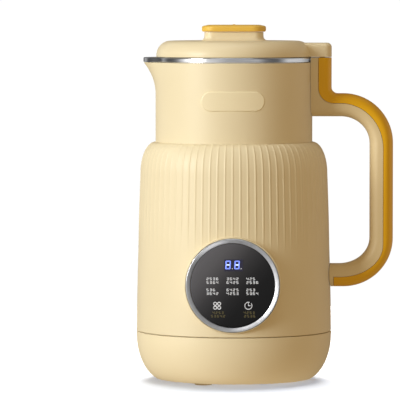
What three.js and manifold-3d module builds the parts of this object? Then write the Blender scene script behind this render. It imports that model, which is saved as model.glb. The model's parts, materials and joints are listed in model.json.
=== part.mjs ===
import * as THREE from "three";
import { mergeVertices } from "three/addons/utils/BufferGeometryUtils.js";
import Module from "manifold-3d";

// A one litre soy milk maker: a steel cup with a blender blade and a heater in its floor, in a ribbed
// plastic housing with a round touch panel, a side handle with a soft grip, and a lid that lifts off.
// Lengths are millimetres and +Z is up. The jug's axis is vertical, the spout points to -X, the handle
// to +X and the panel to -Y. The origin lies on the table, in the middle of the whole footprint.

// Clearances
const fit = 0.3;
const airGap = 0.6;
const overrun = 2;
const sink = 1;
const mergeDistance = 1e-4;

// Feet and base cover
const footStand = 2;
const footRadius = 6.5;
const footPlug = 1.2;
const footEdge = 1;
const footEdgeShare = 0.4;
const footInset = 28.1;
const footCount = 3;
const baseWall = 2.6;
const baseStraight = 2.6;
const baseCurveReach = 20.7;
const baseCurveShare = 0.95;
const seamHeight = 36.6;
const seamGap = 0.5;
const spigotHeight = 2.6;
const spigotWall = 1.6;
const ventCount = 10;
const ventWidth = 3;
const ventInner = 9;
const ventOuter = 26;
const baseBossRadius = 5;
const baseBossHeight = 2.4;

// Steel cup
const cupRadius = 53;
const cupWall = 1;
const cupFlat = 43;
const cupAir = 1;
const cupPortRadius = 10.3;
const baffleCount = 4;
const baffleDepth = 5;
const baffleHalfAngle = 12;
const baffleEase = 7;
const baffleTopGap = 30;
const baffleFloorGap = 2;
const rimTop = 236.2;
const rimHeight = 3.4;
const rimRound = 0.8;
const spoutReach = 8.9;
const spoutDrop = 27.2;
const spoutHalfAngle = 27;
const spoutPower = 2.1;

// Neck sleeve and ribbed housing
const sleeveWall = 2.2;
const sleeveLap = 10.5;
const sleeveFlange = 2.4;
const sleeveFlangeReach = 3.6;
const badgeWidth = 46;
const badgeHeight = 15.2;
const badgeRise = 0.5;
const badgeRim = 1.1;
const badgeCentre = 205.4;
const shoulderStep = 10.8;
const shoulderStart = 152;
const shoulderRise = 22.5;
const bodyTaper = 3.1;
const bodyTaperPower = 1.35;
const housingWall = 2.5;
const ridgeCount = 78;
const ridgeRise = 0.55;
const ridgeFootShare = 0.17;
const ridgeFade = 22;
const shoulderShares = [0.6, 0.9, 1];

// Front panel
const windowRadius = 30.1;
const windowThick = 3.9;
const windowChamfer = 0.5;
const bezelWidth = 3.1;
const bezelDepth = 4.8;
const bezelChamfer = 0.7;
const panelLip = 0.7;
const panelProud = 1;
const panelMargin = 3.1;
const panelRecess = 4;
const panelLedge = 2;
const panelLedgeWidth = 6.8;
const panelPostRadius = 2.1;
const displayWidth = 25;
const displayHeight = 13;
const displayDepth = 6;
const displayRise = 15.2;
const keySpacing = 22.2;
const keyDrop = 14.2;
const keyCoilRadius = 3;
const keyWireRadius = 0.4;
const keyCoilTurns = 3;
const boardThick = 1.6;

// Mains inlet at the back
const inletWidth = 24.6;
const inletHeight = 16.8;
const inletDepth = 15.5;
const inletWall = 1.5;
const inletFlange = 2;
const inletFlangeThick = 2.2;
const inletFloor = 3;
const inletPad = 3.2;
const inletMargin = 5.9;
const inletCorner = 3;
const pinWidth = 2;
const pinHeight = 4;
const pinLength = 12.5;
const pinSpacing = 14;
const earthRise = 3.6;

// Motor
const shaftRadius = 4;
const shaftBore = 4.3;
const shaftTail = 0.7;
const fanGap = 3.2;
const fanHeight = 8;
const fanRadius = 26;
const fanHub = 7.5;
const fanDisc = 1.6;
const fanEdge = 0.8;
const fanBlades = 8;
const fanBladeThick = 1.6;
const boltHead = 1.8;
const boltHeadRadius = 2.8;
const boltRadius = 1.6;
const boltGap = 1.4;
const boltCover = 1;
const bearingLip = 0.9;
const bearingRadius = 11;
const bearingHeight = 7;
const bearingEdge = 0.8;
const bearingBossWall = 2.4;
const bracketPlate = 2.7;
const bracketDepth = 18;
const bracketLeg = 5;
const commutatorGap = 1.4;
const commutatorHeight = 7.6;
const commutatorRadius = 10;
const coilGap = 1.2;
const coilOverhang = 4.6;
const coilWidth = 9;
const coilThick = 7;
const statorWidth = 62;
const statorDepth = 56;
const statorHeight = 25;
const statorCorner = 9;
const statorFrame = 6;
const statorYoke = 8;
const poleHalfWidth = 14;
const rotorRadius = 15.8;
const rotorAir = 0.7;
const rotorSlots = 10;
const rotorSlotDepth = 2.6;
const rotorInset = 0.6;
const rotorToothShare = 0.38;
const rotorRootShare = 0.58;
const brushSize = 5;
const brushLength = 10;
const brushTubeWall = 1.4;
const brushTubeLength = 15;

// Chassis, heater and shaft seal
const chassisThick = 3;
const chassisCollarWall = 2;
const chassisCollarLap = 6;
const chassisBore = 11;
const postRadius = 4;
const postCircle = 44;
const screwRadius = 1.5;
const screwHeadRadius = 2.9;
const screwHeadHeight = 1.9;
const screwLength = 12;
const motorScrewReach = 19;
const heaterAir = 1.8;
const heaterClearance = 1;
const heaterRingRadius = 31;
const heaterTubeRadius = 3.2;
const heaterOpening = 66;
const heaterPin = 9;
const heaterPinRadius = 1.3;
const spreaderThick = 2.7;
const spreaderBore = 18;
const thermostatRadius = 8;
const thermostatHeight = 7.6;
const thermostatCap = 5.4;
const probeRadius = 2.8;
const probeCircle = 38.6;
const probeRise = 5;
const probeDrop = 8;
const probeFlange = 1;
const probeLip = 1.5;
const sealFlangeRadius = 15;
const sealFlangeHeight = 3.2;
const sealFlangeSlope = 1;
const sealStemDrop = 11;
const sealNutHeight = 5.5;
const sealNutRadius = 15.5;
const lipSealRadius = 8;
const lipSealHeight = 3.6;
const lipSealWall = 1.4;
const bushRadius = 6.6;
const bushLip = 1;

// Blades
const collarRadius = 7;
const collarHeight = 3;
const bladeBore = 3.3;
const spindleRadius = 3;
const bladeThick = 1.5;
const bladeWidth = 13;
const bladeTipWidth = 6;
const bladeReach = 27;
const bladeBend = 11;
const lowerBladeDrop = 4.5;
const upperBladeRise = 8;
const capNutRadius = 6.2;
const capNutDome = 5.2;
const capNutHex = 4.5;
const capNutHeight = 9;

// Power board
const powerBoardInset = 25.1;
const powerBoardWidth = 52;
const powerBoardBottom = 12;
const powerBoardHeight = 50;
const relayWidth = 15;
const relayDepth = 13;
const relayHeight = 15;
const capacitorRadius = 5;
const capacitorHeight = 14;
const partGap = 2;
const railWidth = 4;
const railDepth = 6;
const railGrip = 3;

// Handle and grip
const handleWidth = 27;
const handleBevel = 6.3;
const handleBevelDepth = 9;
const handleWall = 2.4;
const handleDrop = 0.2;
const hollowWidth = 17;
const endWall = 2.6;
const riserDepth = 14;
const riserSeam = 4.4;
const riserFillet = 4.6;
const seamFillet = 11;
const fingerGap = 28;
const creamDepth = 9.7;
const gripDepth = 7.2;
const gripTop = 209.9;
const gripTopThick = 6.9;
const creamTopThick = 9.8;
const gripBottom = 69.1;
const gripBottomThick = 7.2;
const creamBottomThick = 9.2;
const gripEnd = 1.7;
const outerUpper = [36, 36];
const outerLower = [36, 35.5];
const seamUpper = [31, 33];
const seamLower = [31, 23.5];
const innerUpper = [21, 20];
const innerLower = [22, 19];
const screwSide = 5;
const screwDrop = 29;
const handleScrewLength = 5.4;
const housingBoss = 4.5;
const housingBossRadius = 4;
const harnessRadius = 1.1;
const hookWidth = 6;
const hookHeight = 2.6;
const hookRise = 4;

// Lid switch in the handle
const switchLength = 12.8;
const switchWidth = 5.8;
const switchHeight = 6.5;
const switchShelf = 2;
const capPlate = 2.7;
const plungerRadius = 2.6;
const plungerStem = 1.6;
const plungerLength = 9.7;
const plungerFlange = 3.9;
const plungerFlangeThick = 1.2;
const plungerTravel = 2;
const plungerSpringTurns = 3;
const plungerWireRadius = 0.35;
const tabPinRadius = 1.9;
const tabPinDepth = 1.7;

// Lid
const lidInset = 0.5;
const lidHeight = 11.7;
const lidEdgeReach = 10.3;
const lidWall = 2.4;
const lidSkirt = 1;
const tabHeight = 10.2;
const tabCorner = 5.5;
const tabTopRound = 3;
const tabLap = 8.3;
const tabCornerShare = 0.7;
const roundShares = [0.13, 0.5];
const plugDepth = 12.2;
const plugWall = 2;
const plugLip = 1.7;
const plugFloor = 1.8;
const plugFlange = 1.8;
const gasketHeight = 4.6;
const gasketThick = 2;
const gasketLip = 0.7;
const knobWidth = 43;
const knobDepth = 25;
const knobCorner = 7;
const knobHeight = 6.3;
const knobFlare = 3.6;
const knobFlareShares = [0.25, 0.3, 0.95];
const capWidth = 46.7;
const capDepth = 29;
const capCorner = 10;
const capHeight = 5;
const capRound = 1.1;
const capCrown = 4.5;
const capPip = 1.2;
const overflowRadius = 2.2;
const overflowDrop = 13;
const overflowReach = 21;
const overflowHead = 1.6;
const overflowLip = 1.5;
const overflowEdge = 1;

// Steps of the round shapes
const roundSteps = 36;
const ringSteps = 28;
const smallSteps = 16;
const screwSteps = 8;
const bearingSteps = 12;
const heaterSteps = 18;
const harnessSteps = 26;
const coilSteps = 6;

// Sizes that follow from the ones above
const cupOuter = cupRadius + cupWall;
const sleeveInner = cupOuter + cupAir;
const neckRadius = sleeveInner + sleeveWall;
const shoulderRadius = neckRadius + shoulderStep;
const seamRadius = shoulderRadius + bodyTaper;
const neckBase = shoulderStart + shoulderRise;
const bezelInner = windowRadius + fit;
const bezelRadius = bezelInner + bezelWidth;
const panelBossRadius = bezelRadius + fit + panelLip;
const footCircle = seamRadius - footInset;
const cupCorner = cupRadius - cupFlat;
const powerBoardReach = seamRadius - powerBoardInset;
const panelHeight = seamHeight + panelBossRadius + panelMargin;
const panelFace = seamRadius + panelProud;
const inletOuterWidth = inletWidth + 2 * inletWall;
const inletOuterHeight = inletHeight + 2 * inletWall;
const inletPadWidth = inletOuterWidth + 2 * inletFlange + 2 * inletPad;
const inletPadHeight = inletOuterHeight + 2 * inletFlange + 2 * inletPad;
const inletCentre = seamHeight + inletPadHeight / 2 + inletMargin;
const baseFloor = footStand + baseWall;
const fanBottom = baseFloor + fanGap;
const fanTop = fanBottom + fanHeight;
const lowerPlate = fanTop + boltHead + boltGap;
const lowerBearing = lowerPlate + bearingLip + fit;
const commutatorBottom = lowerBearing + bearingHeight + commutatorGap;
const coilBottom = commutatorBottom + commutatorHeight + coilGap;
const statorBottom = coilBottom + coilOverhang;
const statorTop = statorBottom + statorHeight;
const coilTop = statorTop + coilOverhang;
const upperBearing = coilTop + airGap;
const upperPlate = upperBearing + bearingHeight + fit;
const motorTop = upperPlate + bracketPlate;
const chassisBottom = motorTop + fit;
const chassisTop = chassisBottom + chassisThick;
const heaterAxis = chassisTop + heaterAir + heaterTubeRadius;
const spreaderBottom = heaterAxis + heaterTubeRadius + fit;
const cupUnderside = spreaderBottom + spreaderThick + fit;
const cupFloor = cupUnderside + cupWall;
const sealTop = cupFloor + fit + sealFlangeHeight;
const collarBottom = sealTop + airGap;
const collarTop = collarBottom + collarHeight;
const boltReach = statorWidth / 2 - statorFrame / 2;
const riserTop = rimTop - handleDrop;
const riserX = neckRadius + riserDepth;
const riserSeamX = neckRadius + riserSeam;
const innerX = seamRadius + fingerGap;
const seamX = innerX + creamDepth;
const outerX = seamX + gripDepth;
const creamTop = gripTop - gripTopThick;
const innerTop = creamTop - creamTopThick;
const creamBottom = gripBottom + gripBottomThick;
const innerBottom = creamBottom + creamBottomThick;
const hookBottom = innerTop + hookRise;
const plungerX = neckRadius + fit + endWall + (riserDepth - fit - endWall - handleWall) / 2;
const plungerTop = rimTop - tabPinDepth;
const switchTop = plungerTop - plungerLength - fit;
const lidBottom = rimTop + fit;
const lidTop = rimTop + lidHeight + fit;
const lidRadius = neckRadius - lidInset;
const tabTop = lidBottom + tabHeight;
const tabRoot = lidRadius - tabLap;
const plugRadius = cupRadius - fit - gasketThick - fit;
const panelSeat = panelFace - panelRecess + fit;
const boardFront = panelSeat - 2 * fit - displayDepth - fit;
const panelInner = Math.sqrt((shoulderRadius - housingWall) ** 2 - panelBossRadius ** 2);
const panelBack = -panelInner;
const axisX = (seamRadius - outerX) / 2;

const wasm = await Module();
wasm.setup();

const radians = THREE.MathUtils.degToRad;

// Turns a closed geometry into a solid whose faces point out
function toSolid(geometry) {
  const loose = geometry.index ? geometry.toNonIndexed() : geometry;
  const bare = new THREE.BufferGeometry().setAttribute("position", loose.getAttribute("position"));
  const merged = mergeVertices(bare, mergeDistance);
  const kept = [];
  for (let i = 0; i < merged.index.count; i += 3) {
    const [a, b, c] = [0, 1, 2].map((k) => merged.index.getX(i + k));
    if (a !== b && b !== c && c !== a) kept.push(a, b, c);
  }
  const build = (faces) =>
    new wasm.Manifold(
      new wasm.Mesh({
        numProp: 3,
        vertProperties: new Float32Array(merged.attributes.position.array),
        triVerts: new Uint32Array(faces),
      }),
    );
  const solid = build(kept);
  if (solid.volume() >= 0) return solid;
  const flipped = [];
  for (let i = 0; i < kept.length; i += 3) flipped.push(kept[i], kept[i + 2], kept[i + 1]);
  return build(flipped);
}

// Turns a solid back into a geometry
function toGeometry(solid) {
  const mesh = solid.getMesh();
  const places = new Float32Array(mesh.numVert * 3);
  for (let i = 0; i < mesh.numVert; i++) {
    places.set(mesh.vertProperties.subarray(i * mesh.numProp, i * mesh.numProp + 3), i * 3);
  }
  const geometry = new THREE.BufferGeometry();
  geometry.setAttribute("position", new THREE.BufferAttribute(places, 3));
  geometry.setIndex(new THREE.BufferAttribute(new Uint32Array(mesh.triVerts), 1));
  geometry.computeVertexNormals();
  return geometry;
}

const join = (...solids) => solids.reduce((whole, next) => whole.add(next));
const cut = (whole, ...tools) => tools.reduce((rest, tool) => rest.subtract(tool), whole);

// A solid of revolution about Z; its profile is a list of [radius, height]
function revolve(profile, steps = roundSteps) {
  const points = profile.map(([radius, height]) => new THREE.Vector2(radius, height));
  const last = profile.length - 1;
  if (profile[0][0] > 0 || profile[last][0] > 0) points.push(points[0].clone());
  return toSolid(new THREE.LatheGeometry(points, steps).rotateX(Math.PI / 2));
}

const rod = (radius, bottom, top, steps = smallSteps) =>
  revolve([[0, bottom], [radius, bottom], [radius, top], [0, top]], steps);

const tubeRing = (inner, outer, bottom, top, steps = smallSteps) =>
  revolve([[inner, bottom], [outer, bottom], [outer, top], [inner, top]], steps);

// Puts a solid made along Z at a place along another axis
const moved = (solid, x, y, z = 0) => solid.translate([x, y, z]);
const alongY = (solid) => solid.rotate([90, 0, 0]);
const alongX = (solid) => solid.rotate([0, 90, 0]);
const turned = (solid, degrees) => solid.rotate([0, 0, degrees]);
const facing = (solid) => moved(alongY(solid), 0, 0, panelHeight);

// A block centred on x and y, standing on a height
function block(width, depth, height, x, y, bottom) {
  const box = new THREE.BoxGeometry(width, depth, height);
  return toSolid(box.translate(x, y, bottom + height / 2));
}

// A block given by its two corners
const span = (low, high) =>
  block(
    high[0] - low[0],
    high[1] - low[1],
    high[2] - low[2],
    (high[0] + low[0]) / 2,
    (high[1] + low[1]) / 2,
    low[2],
  );

// A prism of an outline in X and Y, upwards
function upright(outline, bottom, top) {
  const shape = new THREE.Shape(outline.map(([x, y]) => new THREE.Vector2(x, y)));
  const prism = new THREE.ExtrudeGeometry(shape, { depth: top - bottom, bevelEnabled: false });
  return toSolid(prism.translate(0, 0, bottom));
}

// A prism of an outline in X and Z, centred on Y, whose edges may be rounded by an ellipse
function sideways(outline, width, bevel = 0, bevelDepth = 0) {
  const shape = new THREE.Shape(outline.map(([x, z]) => new THREE.Vector2(x, z)));
  const prism = new THREE.ExtrudeGeometry(shape, {
    depth: width - 2 * bevelDepth,
    bevelEnabled: bevel > 0,
    bevelSize: bevel,
    bevelOffset: -bevel,
    bevelThickness: bevelDepth,
    bevelSegments: 2,
  });
  prism.translate(0, 0, bevelDepth - width / 2);
  return toSolid(prism.rotateX(Math.PI / 2));
}

// Points of an elliptical arc, with its angles in degrees
function arc(centreX, centreY, reachX, reachY, from, to, steps) {
  const points = [];
  for (let i = 0; i <= steps; i++) {
    const angle = radians(from + ((to - from) * i) / steps);
    points.push([centreX + reachX * Math.cos(angle), centreY + reachY * Math.sin(angle)]);
  }
  return points;
}

function roundedRectangle(width, depth, corner, steps = 4) {
  const [x, y] = [width / 2 - corner, depth / 2 - corner];
  return [
    ...arc(x, y, corner, corner, 0, 90, steps),
    ...arc(-x, y, corner, corner, 90, 180, steps),
    ...arc(-x, -y, corner, corner, 180, 270, steps),
    ...arc(x, -y, corner, corner, 270, 360, steps),
  ];
}

// A solid through rings of points, where a ring may have a whole number of times the points of the one
// before it; a closed stack runs on from its last ring to its first
function stack(rings, closed = false) {
  const places = rings.flat(2);
  const faces = [];
  const starts = [0];
  for (const ring of rings) starts.push(starts.at(-1) + ring.length);
  for (let r = 0; r < rings.length - (closed ? 0 : 1); r++) {
    const next = (r + 1) % rings.length;
    const [here, there] = [starts[r], starts[next]];
    const [count, finer] = [rings[r].length, rings[next].length];
    const times = finer / count;
    for (let i = 0; i < count; i++) {
      faces.push(here + i, here + ((i + 1) % count), there + ((times * (i + 1)) % finer));
      for (let k = 0; k < times; k++) {
        faces.push(here + i, there + ((times * i + k + 1) % finer), there + times * i + k);
      }
    }
  }
  if (!closed) {
    for (const [ring, flip] of [[0, true], [rings.length - 1, false]]) {
      const [start, count] = [starts[ring], rings[ring].length];
      const middle = places.length / 3;
      for (let axis = 0; axis < 3; axis++) {
        let sum = 0;
        for (let i = 0; i < count; i++) sum += places[(start + i) * 3 + axis];
        places.push(sum / count);
      }
      for (let i = 0; i < count; i++) {
        const j = (i + 1) % count;
        faces.push(middle, start + (flip ? j : i), start + (flip ? i : j));
      }
    }
  }
  const geometry = new THREE.BufferGeometry();
  geometry.setAttribute("position", new THREE.Float32BufferAttribute(places, 3));
  geometry.setIndex(faces);
  return toSolid(geometry);
}

// One level ring of a shape whose radius depends on the angle
function levelRing(radiusAt, height, steps) {
  const ring = [];
  for (let i = 0; i < steps; i++) {
    const angle = (2 * Math.PI * i) / steps;
    const radius = radiusAt(angle);
    ring.push([radius * Math.cos(angle), radius * Math.sin(angle), height]);
  }
  return ring;
}

// A round tube along a curve
function tube(curve, radius, sides, steps) {
  const section = new THREE.Shape(
    arc(0, 0, radius, radius, 0, 360 - 360 / sides, sides - 1).map(([x, y]) => new THREE.Vector2(x, y)),
  );
  const options = { steps, extrudePath: curve, bevelEnabled: false };
  return toSolid(new THREE.ExtrudeGeometry(section, options));
}

// A coil spring's line about Z
class Helix extends THREE.Curve {
  constructor(radius, height, turns) {
    super();
    Object.assign(this, { radius, height, turns });
  }
  getPoint(t, target = new THREE.Vector3()) {
    const angle = 2 * Math.PI * this.turns * t;
    return target.set(this.radius * Math.cos(angle), this.radius * Math.sin(angle), this.height * t);
  }
}

const material = (color, roughness, metalness = 0) =>
  new THREE.MeshStandardMaterial({ color, roughness, metalness });
const cream = material(0xe9d3a0, 0.5);
const amber = material(0xd99a22, 0.45);
const steel = material(0xb9bcc0, 0.28, 1);
const brushedSteel = material(0xc4c6c9, 0.35, 1);
const silver = material(0xc9cacd, 0.25, 1);
const blackGlass = material(0x17181a, 0.12);
const blackPlastic = material(0x222325, 0.6);
const silicone = material(0xdedbd2, 0.7);
const rubber = material(0x2b2b2c, 0.85);
const aluminium = material(0xa9abae, 0.45, 1);
const copper = material(0xb4693a, 0.4, 1);
const carbon = material(0x35363a, 0.7);
const bronze = material(0xa9834e, 0.45, 1);
const boardGreen = material(0x1f5a3a, 0.55);
const ivory = material(0xe8e2cf, 0.6);

const jug = new THREE.Group();
jug.position.x = axisX;

function add(name, solid, finish) {
  const mesh = new THREE.Mesh(toGeometry(solid), finish);
  mesh.name = name;
  jug.add(mesh);
  return solid;
}

// The housing's outer radius at a height, without its ridges
function housingRadius(height) {
  if (height > shoulderStart) {
    const rise = Math.min(1, (height - shoulderStart) / shoulderRise);
    return neckRadius + shoulderStep * Math.sqrt(1 - rise * rise);
  }
  const share = Math.max(0, (height - seamHeight) / (shoulderStart - seamHeight));
  return seamRadius - bodyTaper * share ** bodyTaperPower;
}

// The spout's bulge beyond the round wall
function spoutBulge(angle, height) {
  const away = Math.abs(Math.PI - angle) / radians(spoutHalfAngle);
  const full = spoutDrop - rimHeight;
  const rise = Math.min(1, (height - (rimTop - spoutDrop)) / full);
  if (away >= 1 || rise <= 0) return 0;
  return spoutReach * Math.cos((away * Math.PI) / 2) ** 2 * rise ** spoutPower;
}

// Shares of the spout's height below the rim at which the walls have a ring of points
const spoutShares = [1, 0.62, 0.36, 0.18];
const hiddenShares = [1, 0.5];
const spoutHeights = (shares) => shares.map((share) => rimTop - share * spoutDrop);

const screwAngles = [60, 180, 300];
const footAngles = Array.from({ length: footCount }, (_, i) => (360 * i) / footCount);
const around = (radius, degrees) => [
  radius * Math.cos(radians(degrees)),
  radius * Math.sin(radians(degrees)),
];

// A bowl with air slots, screw bosses, foot recesses and two rails for the power board
function baseCover() {
  const curveTop = seamHeight - baseStraight;
  const floorReach = seamRadius - baseCurveReach;
  const curveDrop = (curveTop - footStand) / baseCurveShare;
  const end = (Math.asin(baseCurveShare) * 180) / Math.PI;
  const lipOuter = housingRadius(seamHeight) - housingWall - fit;
  const lipInner = lipOuter - spigotWall;
  const top = seamHeight - seamGap / 2;
  let bowl = revolve([
    [0, footStand],
    ...arc(floorReach, curveTop, baseCurveReach, curveDrop, -end, 0, 4),
    [seamRadius, top],
    [lipOuter, top],
    [lipOuter, seamHeight + spigotHeight],
    [lipInner, seamHeight + spigotHeight],
    ...arc(floorReach, curveTop, lipInner - floorReach, curveTop - baseFloor, 0, -90, 2),
    [0, baseFloor],
  ]);
  const ventDepth = baseWall + 2 * overrun;
  const ventMiddle = (ventInner + ventOuter) / 2;
  for (let i = 0; i < ventCount; i++) {
    const slot = block(ventOuter - ventInner, ventWidth, ventDepth, ventMiddle, 0, footStand - overrun);
    bowl = bowl.subtract(turned(slot, (360 * i) / ventCount));
  }
  for (const angle of footAngles) {
    const recess = rod(footRadius + fit, footStand - overrun, footStand + footPlug, smallSteps);
    bowl = bowl.subtract(moved(recess, ...around(footCircle, angle)));
  }
  for (const angle of screwAngles) {
    const place = around(postCircle, angle);
    const boss = rod(baseBossRadius, footStand + baseWall / 2, baseFloor + baseBossHeight, screwSteps);
    const headRoom = screwHeadHeight + 2 * fit;
    const bore = join(
      rod(screwHeadRadius + fit, footStand - overrun, footStand + headRoom, screwSteps),
      rod(screwRadius + fit, footStand, baseFloor + baseBossHeight + overrun, screwSteps),
    );
    bowl = cut(bowl.add(moved(boss, ...place)), moved(bore, ...place));
  }
  const middle = powerBoardReach + boardThick / 2;
  const railHeight = powerBoardBottom + railGrip - baseFloor + sink;
  const railSlot = railWidth + overrun;
  for (const side of [-1, 1]) {
    const y = side * (powerBoardWidth / 2 - railWidth);
    const rail = block(railDepth, railWidth, railHeight, middle, y, baseFloor - sink);
    const slotHeight = railGrip + overrun;
    const slot = block(boardThick + 2 * fit, railSlot, slotHeight, middle, y, powerBoardBottom - fit);
    bowl = cut(bowl.add(rail), slot);
  }
  return bowl;
}

// The ribbed housing, open below and above, with the panel's round seat and the inlet's pad
function outerHousing() {
  const pitch = (2 * Math.PI) / ridgeCount;
  const point = (turn, radius, height) => {
    const angle = pitch * turn - Math.PI / 2;
    return [radius * Math.cos(angle), radius * Math.sin(angle), height];
  };
  const ridges = Array.from({ length: ridgeCount }, (_, i) => i);
  const smoothRing = (height) => ridges.map((i) => point(i, housingRadius(height), height));
  const ridgeRing = (height) =>
    ridges.flatMap((i) => [
      point(i - ridgeFootShare, housingRadius(height), height),
      point(i, housingRadius(height) + ridgeRise, height),
      point(i + ridgeFootShare, housingRadius(height), height),
    ]);
  const fadeStart = panelHeight + ridgeFade;
  const shoulderHeights = [38, 75].map((angle) => shoulderStart + shoulderRise * Math.sin(radians(angle)));
  const skin = stack([
    smoothRing(seamHeight + seamGap / 2),
    smoothRing(fadeStart),
    ...[fadeStart + ridgeFade, shoulderStart, ...shoulderHeights].map(ridgeRing),
  ]);
  const innerTopZ = neckBase - housingWall;
  const hollow = revolve([
    [0, seamHeight - overrun],
    [seamRadius - housingWall, seamHeight - overrun],
    [housingRadius(seamHeight) - housingWall, seamHeight],
    [shoulderRadius - housingWall, shoulderStart - housingWall],
    ...arc(
      neckRadius + fit,
      shoulderStart - housingWall,
      shoulderStep - housingWall - fit,
      innerTopZ - shoulderStart + housingWall,
      30,
      70,
      1,
    ),
    [neckRadius + fit, innerTopZ],
    [neckRadius + fit, neckBase + overrun],
    [0, neckBase + overrun],
  ]);
  const innerAt = (height) => housingRadius(height) - housingWall;
  const bossRoot = -innerAt(panelHeight) * Math.cos(Math.asin(panelBossRadius / innerAt(panelHeight)));
  const boss = facing(rod(panelBossRadius, -bossRoot, panelFace, roundSteps));
  const seat = facing(rod(bezelRadius + fit, panelFace - panelRecess, panelFace + overrun, roundSteps));
  const ledgeBack = panelFace - panelRecess - panelLedge;
  const opening = facing(
    rod(bezelRadius - panelLedgeWidth, -bossRoot - overrun, panelFace, smallSteps),
  );
  const pocket = facing(rod(windowRadius + 3 * fit, -bossRoot - 2 * overrun, ledgeBack, smallSteps));
  let shell = cut(cut(skin, hollow).add(boss), seat, opening, pocket);
  for (const angle of [30, 150, 270]) {
    const [x, z] = around(windowRadius - panelPostRadius / 2, angle);
    const post = facing(rod(panelPostRadius, boardFront + fit, ledgeBack + sink, screwSteps));
    shell = shell.add(moved(post, x, 0, z));
  }
  const padOutline = roundedRectangle(inletPadWidth, inletPadHeight, inletCorner + inletPad, 2);
  const backPlate = (outline, from, to) => moved(alongY(upright(outline, from, to)), 0, 0, inletCentre);
  const wallAt = innerAt(inletCentre) * Math.cos(Math.asin(inletPadWidth / 2 / innerAt(inletCentre)));
  const pad = backPlate(padOutline, -panelFace, -wallAt);
  const inletOutline = (grow) =>
    roundedRectangle(inletOuterWidth + 2 * grow, inletOuterHeight + 2 * grow, inletCorner, 3);
  shell = cut(
    shell.add(pad),
    backPlate(inletOutline(inletFlange + fit), -panelFace - overrun, inletFlangeThick - panelFace),
    backPlate(inletOutline(fit), -panelFace, overrun - wallAt),
  );
  const bossEnd = seamRadius - housingWall - housingBoss;
  const screwLine = (radius, from, to) =>
    moved(alongX(rod(radius, from, to, screwSteps)), 0, -screwSide, (innerBottom + gripBottom) / 2);
  const portLine = moved(
    alongX(rod(harnessRadius + 2 * fit, bossEnd, seamRadius + overrun, screwSteps)),
    0,
    0,
    (innerBottom + gripBottom) / 2,
  );
  return cut(
    shell.add(screwLine(housingBossRadius, bossEnd, seamRadius - housingWall / 2)),
    screwLine(screwRadius + fit / 2, bossEnd - overrun, seamRadius + overrun),
    portLine,
  );
}

// The hook at the handle's upper end, which sits in a slot in the neck; both have this shape
function handleHook(gap, from) {
  return span(
    [from, -hookWidth / 2 - gap, hookBottom - gap],
    [neckRadius + endWall, hookWidth / 2 + gap, hookBottom + hookHeight + gap],
  );
}

// The smooth neck above the housing, with the spout and a plain raised badge
function neckSleeve() {
  const top = rimTop - rimHeight - fit;
  const bottom = neckBase - sleeveLap;
  const wallRing = (radius, height) => levelRing((a) => radius + spoutBulge(a, height), height, roundSteps);
  const outerHeights = [neckBase + fit, ...spoutHeights(spoutShares), top].reverse();
  const innerHeights = [...spoutHeights(hiddenShares), top];
  const flangeTop = bottom + sleeveFlange;
  const sleeve = stack(
    [
      wallRing(sleeveInner, bottom),
      ...innerHeights.map((height) => wallRing(sleeveInner, height)),
      ...outerHeights.map((height) => wallRing(neckRadius, height)),
      wallRing(neckRadius, flangeTop),
      wallRing(neckRadius + sleeveFlangeReach, flangeTop),
      wallRing(neckRadius + sleeveFlangeReach, bottom),
    ],
    true,
  );
  const outline = (less) =>
    roundedRectangle(badgeWidth - 2 * less, badgeHeight - 2 * less, (badgeHeight - 2 * less) / 2.01, 4);
  const plate = (less, from) =>
    moved(alongY(upright(outline(less), from, neckRadius + overrun)), 0, 0, badgeCentre);
  const low = badgeCentre - badgeHeight;
  const high = badgeCentre + badgeHeight;
  const band = (outer) => tubeRing(neckRadius - sleeveWall / 2, outer, low, high, roundSteps);
  const border = cut(plate(0, 0), plate(badgeRim, -overrun)).intersect(band(neckRadius + badgeRise));
  const screwHole = moved(
    alongX(rod(screwRadius + fit / 2, sleeveInner - overrun, neckRadius + overrun, screwSteps)),
    0,
    0,
    riserTop - screwDrop,
  );
  return cut(join(sleeve, border), screwHole, handleHook(fit, sleeveInner - overrun));
}

// The pressed steel cup with its rim, spout and four inward baffles
function innerCup() {
  const baffleBottom = cupFloor + cupCorner + baffleFloorGap;
  const baffleTop = rimTop - baffleTopGap;
  const baffle = (angle, share) => {
    const pitch = (2 * Math.PI) / baffleCount;
    const away = Math.abs(((angle + pitch / 2) % pitch) - pitch / 2) / radians(baffleHalfAngle);
    return away < 1 ? share * baffleDepth * Math.cos((away * Math.PI) / 2) ** 2 : 0;
  };
  const ring = (radius, height, share = 0) =>
    levelRing((a) => radius + spoutBulge(a, height) - baffle(a, share), height, roundSteps);
  const underRim = rimTop - rimHeight;
  const corner = (radius, bottom, reach, angles) =>
    angles.map((a) => {
      const [x, z] = around(reach, a);
      return ring(radius - reach + x, bottom + reach + z);
    });
  return stack(
    [
      ring(cupPortRadius, cupUnderside),
      ...corner(cupOuter, cupUnderside, cupCorner + cupWall, [-90, -45, 0]),
      ...spoutHeights(hiddenShares).map((height) => ring(cupOuter, height)),
      ring(cupOuter, underRim),
      ring(neckRadius, underRim),
      ring(neckRadius, rimTop - rimRound),
      ring(neckRadius - rimRound, rimTop),
      ring(cupRadius, rimTop),
      ...spoutHeights(spoutShares)
        .reverse()
        .map((height) => ring(cupRadius, height)),
      ring(cupRadius, baffleTop),
      ring(cupRadius, baffleTop - baffleEase, 1),
      ring(cupRadius, baffleBottom + baffleEase, 1),
      ring(cupRadius, baffleBottom),
      ...corner(cupRadius, cupFloor, cupCorner, [0, -45, -90]),
      ring(cupPortRadius, cupFloor),
    ],
    true,
  );
}

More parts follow.
